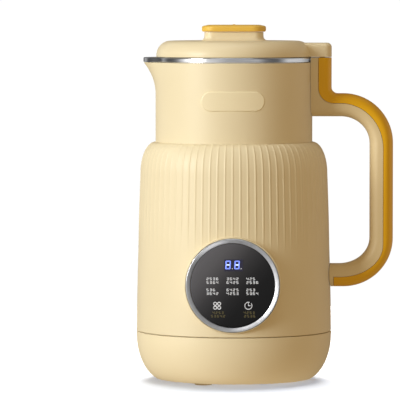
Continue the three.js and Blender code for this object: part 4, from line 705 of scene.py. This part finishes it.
def inner_cup():
    """The cup from under its floor, up its outside, over the rim and down its inside with the baffles."""
    rim_low = RIM_Z - RIM_HEIGHT
    floor = CUP_UNDER + CUP_WALL
    middle, outside = CUP_R - CUP_CORNER, CUP_CORNER + CUP_WALL
    baffle_low, baffle_high, runout = floor + CUP_CORNER + 2, RIM_Z - 30, 7
    bend_z = floor + CUP_CORNER
    rings = [spouted(CUP_HOLE_R, CUP_UNDER)]
    rings += [spouted(r, z) for r, z in arc(middle, bend_z, outside, outside, -90, 0, 10)]
    rings += [spouted(CUP_R + CUP_WALL, z) for z in heights(RIM_Z - SPOUT_DROP, rim_low, 12)]
    rings += [spouted(NECK_R - 0.3, rim_low), spouted(NECK_R, rim_low + 0.3)]
    rings += [spouted(r, z) for r, z in arc(NECK_R - 0.8, RIM_Z - 0.8, 0.8, 0.8, 0, 90, 6)]
    rings += [spouted(r, z) for r, z in arc(CUP_R + 0.5, RIM_Z - 0.5, 0.5, 0.5, 90, 180, 4)]
    rings += [spouted(CUP_R, z) for z in heights(RIM_Z - 1, RIM_Z - 24, 8)[1:]]
    rings += [spouted(CUP_R, baffle_high)]
    steps = [(i, baffle_high - runout * i / 6) for i in range(1, 7)]
    steps += [(i, baffle_low + runout * i / 6) for i in range(6, 0, -1)]
    rings += [spouted(CUP_R, z, baffle(math.sin(math.pi * i / 12) ** 2)) for i, z in steps]
    rings += [spouted(CUP_R, baffle_low)]
    rings += [spouted(r, z) for r, z in arc(middle, bend_z, CUP_CORNER, CUP_CORNER, 0, -90, 10)]
    rings += [spouted(CUP_HOLE_R, floor)]
    finish(skin("inner_cup_skin", rings, closed=True), "jug", "cup_steel", "inner_cup")


# Handle
def handle_line(line, grow, upper_x, lower_x):
    """A line of the handle: along the upper arm, round both bends and back along the lower arm."""
    top, right, bottom, upper, lower = line
    steps = 18
    return [
        (upper_x, top + grow),
        *arc(right - upper[0], top - upper[1], upper[0] + grow, upper[1] + grow, 90, 0, steps),
        *arc(right - lower[0], bottom + lower[1], lower[0] + grow, lower[1] + grow, 0, -90, steps),
        (lower_x, bottom - grow),
    ]


def handle_outline(inset, upper_x, lower_x, top_z):
    """The riser and the handle as one outline, made smaller all round by the inset."""
    fillet = 4.6 + inset
    outer = handle_line(OUTER_LINE, -inset, RISER_X, lower_x)
    inner = handle_line(INNER_LINE, inset, upper_x, lower_x)
    x = RISER_X - inset
    return [
        (upper_x, top_z),
        (x, top_z),
        *arc(x + fillet, GRIP_TOP - inset + fillet, fillet, fillet, 180, 270, 8),
        *outer[1:],
        *reversed(inner),
    ]


def seam_outline(gap):
    """The grip's side of the seam, grown by the gap."""
    corner, end = 11 + gap, SEAM_R + 1.7 - gap
    line = handle_line(SEAM_LINE, -gap, RISER_X, end)
    x = RISER_SEAM - gap
    return [
        (x, RIM_Z + OVER),
        *arc(x + corner, CREAM_TOP - gap + corner, corner, corner, 180, 270, 10),
        *line[1:],
        (end, 0),
        (2 * OUTER_X, 0),
        (2 * OUTER_X, RIM_Z + OVER),
    ]


def grip_region(gap):
    """The room of the grip; in the rear half the seam is stepped towards the grip."""
    wide = 40
    levels = [(-wide, gap), (0, gap), (0.02, gap - SEAM_STEP), (wide, gap - SEAM_STEP)]
    return skin("grip_region", [[(a, y, b) for a, b in seam_outline(g)] for y, g in levels])


def seam_groove(side):
    """A cutter that rounds the grip's edge along the seam and breaks the body's."""
    # Each point is the gap from the seam and the rise over the handle's side
    section = [(0.75, 0.5), (0.75, 0), (0.3, -0.4), (0, -1.7)]
    section += [(-0.3, -1.1), (-0.8, -0.6), (-1.5, -0.2), (-2.4, 0), (-2.4, 0.5)]
    face, step = HANDLE_WIDTH / 2, SEAM_STEP if side > 0 else 0
    rings = []
    for gap, rise in section:
        rings.append([(a, side * (face + rise), b) for a, b in seam_outline(gap - step)])
    return skin("groove", rings, closed=True)


def body_room():
    """What the housing and the neck take out of the handle."""
    levels = [30, *heights(40, SHOULDER_Z, 14)]
    shoulder = [SHOULDER_Z + SHOULDER_RISE * math.sin(math.radians(t)) for t in range(8, 90, 8)]
    profile = [(housing_radius(z) + FIT + 0.25, z) for z in levels + shoulder]
    neck = NECK_R + FIT
    return lathe("room", [(0, 30), *profile, (neck, NECK_Z + 2), (neck, 245), (0, 245)], 192)


def handle():
    """The cream body and the amber grip, cut from one hollow form along the seam."""
    rings = []
    flat = HANDLE_WIDTH / 2 - HANDLE_DEPTH
    turns = [math.radians(90 * i / 9) for i in range(10)]
    levels = [(flat + HANDLE_DEPTH * math.sin(t), HANDLE_BEVEL * (1 - math.cos(t))) for t in turns]
    for side in (-1, 1):
        for y, inset in levels[::-1] if side < 0 else levels:
            outline = handle_outline(inset, NECK_R / 2, SEAM_R / 2, 260)
            rings.append([(a, side * y, b) for a, b in outline])
    whole = skin("handle_body_skin", rings)
    carve(whole, body_room(), block("above", (0, -40, RISER_TOP), (130, 40, 270)))
    hollow_line = handle_outline(WALL, NECK_R + FIT + 2.6, SEAM_R + FIT + 2.6, 260)
    carve(whole, skin("hollow", [[(a, y, b) for a, b in hollow_line] for y in (-8.5, 8.5)]))
    grip = bpy.data.objects.new("handle_grip_skin", whole.data.copy())
    bpy.context.scene.collection.objects.link(grip)
    carve(grip, grip_region(0), how="INTERSECT")
    carve(whole, grip_region(FIT))
    for piece in (whole, grip):
        carve(piece, seam_groove(-1), seam_groove(1))

    # The plate under the lid's tab, the shelf of the lid switch and the hook in the neck
    plate = block("plate", (58.8, -8.2, 233.3), (68.5, 8.2, RISER_TOP))
    shelf = block("shelf", (58.8, -6.4, 215.4), (PLUNGER_X, 6.4, 217.4))
    hook = block("hook", (54.6, -3, INNER_TOP + 4), (59.8, 3, INNER_TOP + 6.6))
    carve(whole, plate, shelf, hook, how="UNION")
    carve(whole, shift(rod("hole", 2.9, 230, 240), PLUNGER_X), level_rod(HOLE_R, 56, 64, 0, NECK_SCREW_Z))
    for piece in (whole, grip):
        carve(piece, level_rod(HOLE_R, 68, 78, ARM_SCREW_Y, ARM_Z), level_rod(LEAD_R, 68, 78, 0, ARM_Z))
    finish(whole, "jug", "cream_plastic", "handle_body")
    finish(grip, "jug", "amber_plastic", "handle_grip")


# Panel
def panel():
    """The slightly domed window and the ring round it."""
    dome = arc(0, PANEL_Y - 0.15, WINDOW_R, 0.45, 0, 90, 10)
    glass = lathe("panel_window_skin", [(0, SEAT_Y), (WINDOW_R, SEAT_Y), *dome], 128)
    finish(facing(glass), "jug", "panel_glass", "panel_window", angle=50)
    top = SEAT_Y + 4.8
    ring = [(BEZEL_IN, SEAT_Y), (BEZEL_R, SEAT_Y), (BEZEL_R, top, 0.5), (BEZEL_IN, top - 1.3, 0.2)]
    bezel = lathe("panel_bezel_skin", rounded(ring, 6), 160, closed=True)
    finish(facing(bezel), "jug", "bezel_metal", "panel_bezel", angle=50)


# The number shapes of a seven-segment display, as which of its segments are lit
SEGMENTS = {2: "abged", 3: "abgcd", 4: "fgbc", 5: "afgcd", 6: "afgedc", 8: "abcdefg"}
# The marks' front and back, just proud of the window and inside it
FRONT = PANEL_Y + 0.32
BACK = FRONT - 0.3


def mark(name, rings, paint, front=FRONT):
    """Flat marks on the window, each a closed outline in x and z about the panel's centre."""
    places, faces = [], []
    for outline in rings:
        start, count = len(places), len(outline)
        for y in (-BACK, -front):
            places += [(x, y, z + PANEL_Z) for x, z in outline]
        faces.append(tuple(range(start, start + count)))
        faces.append(tuple(range(start + count, start + 2 * count)))
        for i in range(count):
            j = (i + 1) % count
            faces.append((start + i, start + j, start + count + j, start + count + i))
    finish(build(name, places, faces, merge=1e-6), "jug", "panel_glass", paint=paint)


def bar(x0, z0, x1, z1):
    return [(x0, z0), (x1, z0), (x1, z1), (x0, z1)]


def digit(number, x, z, w, h, t, lean=0.0):
    """The lit segments, t wide, of a number whose lower left corner is at x and z."""
    gap, m = t * 0.22, h / 2
    shapes = {
        "a": bar(gap + t / 2, h - t, w - gap - t / 2, h),
        "g": bar(gap + t / 2, m - t / 2, w - gap - t / 2, m + t / 2),
        "d": bar(gap + t / 2, 0, w - gap - t / 2, t),
        "f": bar(0, m + gap / 2, t, h - gap),
        "b": bar(w - t, m + gap / 2, w, h - gap),
        "e": bar(0, gap, t, m - gap / 2),
        "c": bar(w - t, gap, w, m - gap / 2),
    }
    return [[(x + a + lean * b, z + b) for a, b in shapes[s]] for s in SEGMENTS[number]]


def disc(x, z, radius):
    return [(x + a, z + b) for a, b in circle(radius, 16)]


def ring_mark(x, z, inner, outer, start, end):
    """A ring, or a part of one, as short closed pieces."""
    steps = 20
    a = arc(x, z, outer, outer, start, end, steps)
    b = arc(x, z, inner, inner, start, end, steps)
    return [[a[i], a[i + 1], b[i + 1], b[i]] for i in range(steps)]


def number_line(count, first, x, z, pitch=2.3, line=0.36):
    """A row of plain small numbers, which stands where the panel has a line of text."""
    width, height = 1.6, 1.9
    row = []
    for i in range(count):
        number = (2, 5, 3, 6, 4)[(i + first) % 5]
        row += digit(number, x + i * pitch, z - height / 2, width, height, line)
    return row


def panel_marks():
    """The display, two rows of three marks with two lines each, two key signs and their labels."""
    lit, bars = [], []
    for left in (-5.3, 1.1):
        segments = digit(8, left, 11.8, 3.8, 6.2, 0.9, lean=0.05)
        bars.append(segments.pop())
        lit += segments
    mark("display_back", [bar(-5.9, 10.3, 7.4, 18.8)], GLOW, front=FRONT - 0.02)
    mark("display_digits", lit, DIGITS, front=FRONT + 0.05)
    mark("display_bars", bars, BARS, front=FRONT + 0.05)
    white = [disc(-0.2, 12.2, 0.35), disc(6.1, 12.2, 0.35)]
    columns = (-18.7, -4.3, 9.8)
    counts = (((4, 4), (4, 4), (3, 4)), ((3, 4), (4, 4), (3, 4)))
    for row, top in enumerate((4.9, -3.0)):
        for column, left in enumerate(columns):
            for k in range(2):
                count = counts[row][column][k]
                white += number_line(count, row + 2 * column + k, left, top - 2.6 * k)
    for x in (-12.4, -9.6):
        for z in (-15.7, -12.9):
            white += ring_mark(x, z, 0.8, 1.4, 0, 360)
    white += ring_mark(11.3, -14.3, 2.3, 2.8, 70, 400)
    white += [bar(11.05, -14.5, 11.5, -12.4), bar(11.05, -14.5, 12.8, -14.05)]
    mark("panel_marks", white, MARKS)
    dim = []
    for left, count, row in ((-14.4, 4, 0), (-15.5, 5, 1), (7.8, 4, 0), (8.2, 4, 1)):
        dim += number_line(count, count + row, left, -19.3 - 2.5 * row, 2.15, 0.45)
    mark("panel_labels", dim, DIM)


# Lid
def lid_cover():
    """The domed cover with its tab over the handle, the knob's neck and the pin for the lid switch."""
    edge = LID_R - LID_EDGE
    skirt = LID_Z + 1
    outer = [(0, LID_Z), (LID_R - 0.3, LID_Z), (LID_R, LID_Z + 0.3)]
    outer += arc(edge, skirt, LID_EDGE, LID_TOP - skirt, 0, 90, 26) + [(0, LID_TOP)]
    cover = lathe("lid_cover_skin", outer, 192)

    def tab_ring(less, z):
        plan = round_box(2 * (RISER_X - less), HANDLE_WIDTH - 2 * less, 5.5 - 0.7 * less, 8)
        return [(max(x, TAB_START), y, z) for x, y in plan]

    round_top = [(3 - x, z) for x, z in arc(0, 0, 3, 3, 0, 90, 9)]
    rings = [tab_ring(0.3, LID_Z), tab_ring(0, LID_Z + 0.3)]
    rings += [tab_ring(less, TAB_TOP - 3 + rise) for less, rise in round_top]
    tab = skin("tab", rings)
    hollow = block("hollow", (43, -11.1, LID_Z + WALL), (68.8, 11.1, TAB_TOP - WALL))

    def knob_ring(more, z):
        plan = round_box(43 + 2 * more, 25 + 2 * more, 7 + more, 10)
        return [(x, y, z) for x, y in plan]

    flare = arc(3.6, 3.4, 3.6, 3.4, 270, 180, 9)
    knob = [knob_ring(3.6, LID_TOP - 1.2)]
    knob += [knob_ring(more, LID_TOP + rise) for more, rise in flare]
    neck = skin("knob", knob + [knob_ring(0, KNOB_TOP)])
    carve(cover, carve(tab, hollow), neck, how="UNION")
    inner = [(0, LID_Z - OVER), (LID_R - WALL, LID_Z - OVER), (LID_R - WALL, skirt)]
    inner += arc(edge, skirt, LID_EDGE - WALL, LID_TOP - skirt - WALL, 0, 90, 10)[1:]
    inner += [(0, LID_TOP - WALL)]
    knob_hollow = prism("knob_hollow", round_box(38.2, 20.2, 4.6), LID_TOP - 4.4, KNOB_TOP - WALL)
    carve(cover, lathe("inner", inner, 96), knob_hollow)
    carve(cover, shift(rod("pin", 1.9, LID_Z - 1.7, TAB_TOP - 1.2), PLUNGER_X), how="UNION")
    finish(cover, "lid", "cream_plastic", "lid_cover", paint=CREAM_GLOSS)


def knob_cap():
    """The amber cap: a rounded lower edge, a long upper curve and a low round pip on top."""

    def ring(less_x, less_y, z):
        plan = round_box(46.7 - 2 * less_x, 29 - 2 * less_y, 10 - less_y / 2, 10)
        return [(x, y, z) for x, y in plan]

    top = CAP_Z + 5
    rings = []
    lower = 1.1
    for t in range(0, 91, 15):
        less = lower * (1 - math.sin(math.radians(t)))
        rings.append(ring(less, less, CAP_Z + lower * (1 - math.cos(math.radians(t)))))
    for t in range(0, 91, 10):
        a, b = 1 - math.cos(math.radians(t)), math.sin(math.radians(t))
        rings.append(ring(2.6 * a, 1.9 * a, top - 2.0 + 1.5 * b))
    rings += [ring(3.6, 2.7, top - 0.17), ring(5, 3.6, top), ring(12, 9, top)]
    cap = skin("knob_cap_skin", rings)
    pip = [(0, top - 1.2), (1.2, top - 1.2), (1.2, top)]
    pip += [(0.95, top + 0.28), (0.5, top + 0.4), (0, top + 0.42)]
    carve(cap, lathe("pip", pip, 32), how="UNION")
    # The cap takes the amber with the painted sheen
    finish(cap, "lid", "amber_plastic", "knob_cap", paint=AMBER_CAP_PAINTED_SHEEN)


def lid_parts():
    """The plug under the cover and the gasket with two lips round it."""
    floor, r = LID_Z - 12.2, 50.4
    step = floor + 1.8
    profile = [(0, floor), (r + 1.7, floor, 0.3), (r + 1.7, step, 0.3), (r, step), (r, LID_Z)]
    profile += [(53.3, LID_Z), (53.3, LID_Z + 1.8, 0.3), (r - 2, LID_Z + 1.8), (r - 2, step, 0.8)]
    plug = lathe("lid_base_skin", rounded(profile + [(0, step)]), 160)
    carve(plug, shift(rod("hole", 2.5, floor - OVER, floor + 4), -21))
    finish(plug, "lid", "ivory_plastic", "lid_base")
    low, tall = step + FIT, 4.6
    lip = tall / 5
    lips = [(50.7, low), (52, low), (52.7, low + lip, 0.25), (52, low + 2.2 * lip, 0.2)]
    lips += [(52.7, low + 3.4 * lip, 0.25), (50.7, low + tall)]
    gasket = lathe("lid_gasket_skin", rounded(lips), 160, closed=True)
    finish(gasket, "lid", "silicone", "lid_gasket")


outer_housing()
base_cover()
feet()
neck_sleeve()
inner_cup()
handle()
panel()
panel_marks()
lid_cover()
knob_cap()
lid_parts()

# The CAD's own pieces keep their slots and get a finish, and their edges are welded and softened
PAINTS = {"stator_core": LAMINATED, "rotor_core": LAMINATED}
for name, node in frame["nodes"].items():
    if node.hide_render:
        continue
    for place in node.material_slots:
        slot = place.material.name.split(".")[0]
        place.material = PAINTS.get(name) or SLOTS.get(slot, STEEL)
    weld = node.modifiers.new("weld", "WELD")
    weld.merge_threshold = 1e-6
    edge = node.modifiers.new("edge", "BEVEL")
    edge.width = 0.15 * MM
    edge.segments = 1
    edge.limit_method = "ANGLE"
    edge.angle_limit = math.radians(35)

# Floor, light and camera
scene = bpy.context.scene
FLOOR_R, FLOOR_STEPS = 0.7, 96
floor_mesh = bpy.data.meshes.new("floor")
outline = [(x, y, 0) for x, y in circle(FLOOR_R, FLOOR_STEPS)]
floor_mesh.from_pydata(outline, [], [tuple(range(FLOOR_STEPS))])
floor = bpy.data.objects.new("floor", floor_mesh)
scene.collection.objects.link(floor)
pale, _, _, shader = material("pale_floor")
shader.inputs["Base Color"].default_value = (0.92, 0.92, 0.92, 1)
shader.inputs["Roughness"].default_value = 0.9
shader.inputs["Specular IOR Level"].default_value = 0.0
floor_mesh.materials.append(pale)
floor.visible_diffuse = False
floor.visible_glossy = False
floor.visible_shadow = False


def studio():
    """White to the eye, a warm fill to matt surfaces, light and dark cards round the room to gloss."""
    world = bpy.data.worlds.new("studio")
    scene.world = world
    world.use_nodes = True
    nodes, links = world.node_tree.nodes, world.node_tree.links
    out = nodes["World Output"]
    plain, cards = nodes["Background"], nodes.new("ShaderNodeBackground")
    plain.inputs["Color"].default_value = (1, 1, 1, 1)
    plain.inputs["Strength"].default_value = 1.02
    warm = put(nodes, "ShaderNodeBackground", Color=FILL)
    place = nodes.new("ShaderNodeTexCoord")
    round_room = put(nodes, "ShaderNodeTexGradient", gradient_type="RADIAL")
    # The gradient runs from 0 at -X through -Y at a quarter and +X at a half, back to -X at 1
    shades = ramp(nodes, [(spot / 360, (v, v, v)) for spot, v in CARDS])
    rays = nodes.new("ShaderNodeLightPath")
    first, second = nodes.new("ShaderNodeMixShader"), nodes.new("ShaderNodeMixShader")
    links.new(place.outputs["Generated"], round_room.inputs["Vector"])
    links.new(round_room.outputs["Fac"], shades.inputs["Fac"])
    height = nodes.new("ShaderNodeSeparateXYZ")
    # A direction's height runs from -1 to 1, and the ramp from 0 to 1
    level = put(nodes, "ShaderNodeMath", operation="MULTIPLY_ADD")
    level.inputs[1].default_value = level.inputs[2].default_value = 0.5
    dimmed = ramp(nodes, [(spot, (v, v, v)) for spot, v in BY_HEIGHT])
    mixed = put(nodes, "ShaderNodeVectorMath", operation="MULTIPLY")
    links.new(place.outputs["Generated"], height.inputs["Vector"])
    links.new(height.outputs["Z"], level.inputs[0])
    links.new(level.outputs["Value"], dimmed.inputs["Fac"])
    links.new(shades.outputs["Color"], mixed.inputs[0])
    links.new(dimmed.outputs["Color"], mixed.inputs[1])
    links.new(mixed.outputs["Vector"], cards.inputs["Color"])
    links.new(rays.outputs["Is Glossy Ray"], first.inputs["Fac"])
    links.new(warm.outputs["Background"], first.inputs[1])
    links.new(cards.outputs["Background"], first.inputs[2])
    links.new(rays.outputs["Is Camera Ray"], second.inputs["Fac"])
    links.new(first.outputs["Shader"], second.inputs[1])
    links.new(plain.outputs["Background"], second.inputs[2])
    links.new(second.outputs["Shader"], out.inputs["Surface"])


def lamp(name, azimuth, elevation, distance, size, power, colour=(1, 1, 1), middle=(AXIS_X, 0, 0.13)):
    """A soft box that looks at the middle, in metres; azimuth 0 is the camera's side, 90 the handle's."""
    data = bpy.data.lights.new(name, "AREA")
    data.shape = "RECTANGLE"
    data.size, data.size_y = size
    data.energy = power
    data.color = colour
    item = bpy.data.objects.new(name, data)
    a, e = math.radians(azimuth), math.radians(elevation)
    way = Vector((math.sin(a) * math.cos(e), -math.cos(a) * math.cos(e), math.sin(e)))
    item.location = Vector(middle) + way * distance
    item.rotation_euler = way.to_track_quat("Z", "Y").to_euler()
    item.visible_camera = False
    scene.collection.objects.link(item)
    return item


def light_only(item, *lit):
    """Lets a lamp light these pieces alone."""
    group = bpy.data.collections.new(item.name + "_lit")
    for piece in lit:
        group.objects.link(piece)
    item.light_linking.receiver_collection = group
    return group


def block_only(item, *shading):
    """Lets only these pieces cast a lamp's shadow."""
    group = bpy.data.collections.new(item.name + "_shaded")
    for piece in shading:
        group.objects.link(piece)
    item.light_linking.blocker_collection = group


def light_all_but(item, *left):
    """Lets a lamp light everything apart from these pieces."""
    group = light_only(item, *left)
    for entry in group.collection_objects:
        entry.light_linking.link_state = "EXCLUDE"


def pieces(*starts):
    """The scene's objects whose names start so."""
    return [o for o in scene.objects if o.name.startswith(starts)]


# The warm fill's colour
FILL = (0.438, 0.324, 0.189, 1)
# Round the room from the spout's side through the camera's and the handle's: degrees and brightness
CARDS = [
    (0, 0.35), (10, 0.9), (18, 1.5), (38, 1.5), (48, 1.0), (64, 0.8), (80, 0.54), (128, 0.53),
    (137, 0.24), (146, 0.15), (158, 0.14), (168, 0.4), (177, 0.8), (206, 0.84), (226, 0.45), (250, 0.2),
    (300, 0.2), (319, 0.6), (330, 0.3), (337, 0.09), (352, 0.14), (359, 0.3),
]
# How much of that is left from straight below at 0, over level at a half, to straight above at 1
BY_HEIGHT = [(0.18, 0.5), (0.3, 0.5), (0.4, 0.9), (0.45, 1.0), (0.57, 1.0), (0.67, 0.7), (0.82, 0.65)]
studio()

# The key stands left of the camera; lid, handle and gloss have lamps of their own at nearly its place
FAR, KEY_HIGH, KEY_SIZE, RING_SIZE = 1.6, 16, (0.8, 0.9), (0.45, 0.45)
key = lamp("key", -53, KEY_HIGH, FAR, KEY_SIZE, 28.5, (0.7, 0.785, 0.87))
gloss = lamp("key_gloss", -55, KEY_HIGH, FAR, (0.5, 0.6), 17)
top = lamp("top", 0, 80, 2.0, (1.2, 1.2), 7, (0.75, 0.88, 1.0))
upper_key = lamp("upper_key", -55, KEY_HIGH, FAR, KEY_SIZE, 28.5, (0.72, 0.8, 0.88))
handle_key = lamp("handle_key", -54, KEY_HIGH, FAR, (0.4, 0.8), 21, (0.88, 0.88, 0.82))
bounce = lamp("bounce", -75, -30, 1.2, (0.8, 0.8), 1.2, (1.0, 0.92, 0.8), (AXIS_X, 0, 0.03))
under = lamp("under", 0, -82, 0.16, (0.2, 0.2), 0.1, (1.0, 0.95, 0.85), (AXIS_X, -0.05, 0))
ring_low = lamp("ring_low", 20, -38, FAR, RING_SIZE, 1.1)
ring_high = lamp("ring_high", -16, 38, FAR, RING_SIZE, 0.9)
wash = lamp("floor_wash", 176, 70, 2.6, (2.2, 2.2), 122, middle=(AXIS_X, 0, 0))
cool = lamp("floor_cool", 0, 45, 2.6, (1.0, 1.0), 32, (0.08, 0.47, 1.0), (AXIS_X, 0, 0))
for item in (key, upper_key, handle_key, under):
    item.visible_glossy = False
for item in (gloss, ring_low, ring_high):
    item.visible_diffuse = False

# Which pieces each lamp lights, and which of them shade the floor
grip = pieces("handle_body_", "handle_grip_")
for item in grip:
    item.visible_glossy = False
feet_pads = pieces("foot_")
lower = pieces("base_cover_")
upper = pieces("lid_cover_", "knob_")
bezel = pieces("panel_bezel_")
light_only(ring_low, *bezel)
light_only(ring_high, *bezel)
light_only(wash, floor)
light_only(cool, floor)
block_only(cool, *feet_pads)
block_only(wash, *pieces("base_cover_", "outer_housing_"))
light_only(upper_key, *upper)
light_only(handle_key, *grip)
light_only(bounce, *lower)
light_only(under, *lower, *feet_pads)
light_all_but(key, floor, *grip, *upper)
light_all_but(top, floor, *grip)

# The camera stands 2.9 m away, a little above the lid; these are metres
eye = Vector((0.0153, -2.92, 0.28))
aim = Vector((-0.04725, 0.0, 0.1318))
camera = bpy.data.cameras.new("camera")
camera.lens = 360
camera.sensor_width = 36
camera.clip_end = 100
view = bpy.data.objects.new("camera", camera)
view.location = eye
view.rotation_euler = (aim - eye).to_track_quat("-Z", "Y").to_euler()
scene.collection.objects.link(view)
scene.camera = view
scene.view_settings.view_transform = "Standard"
scene.view_settings.look = "None"
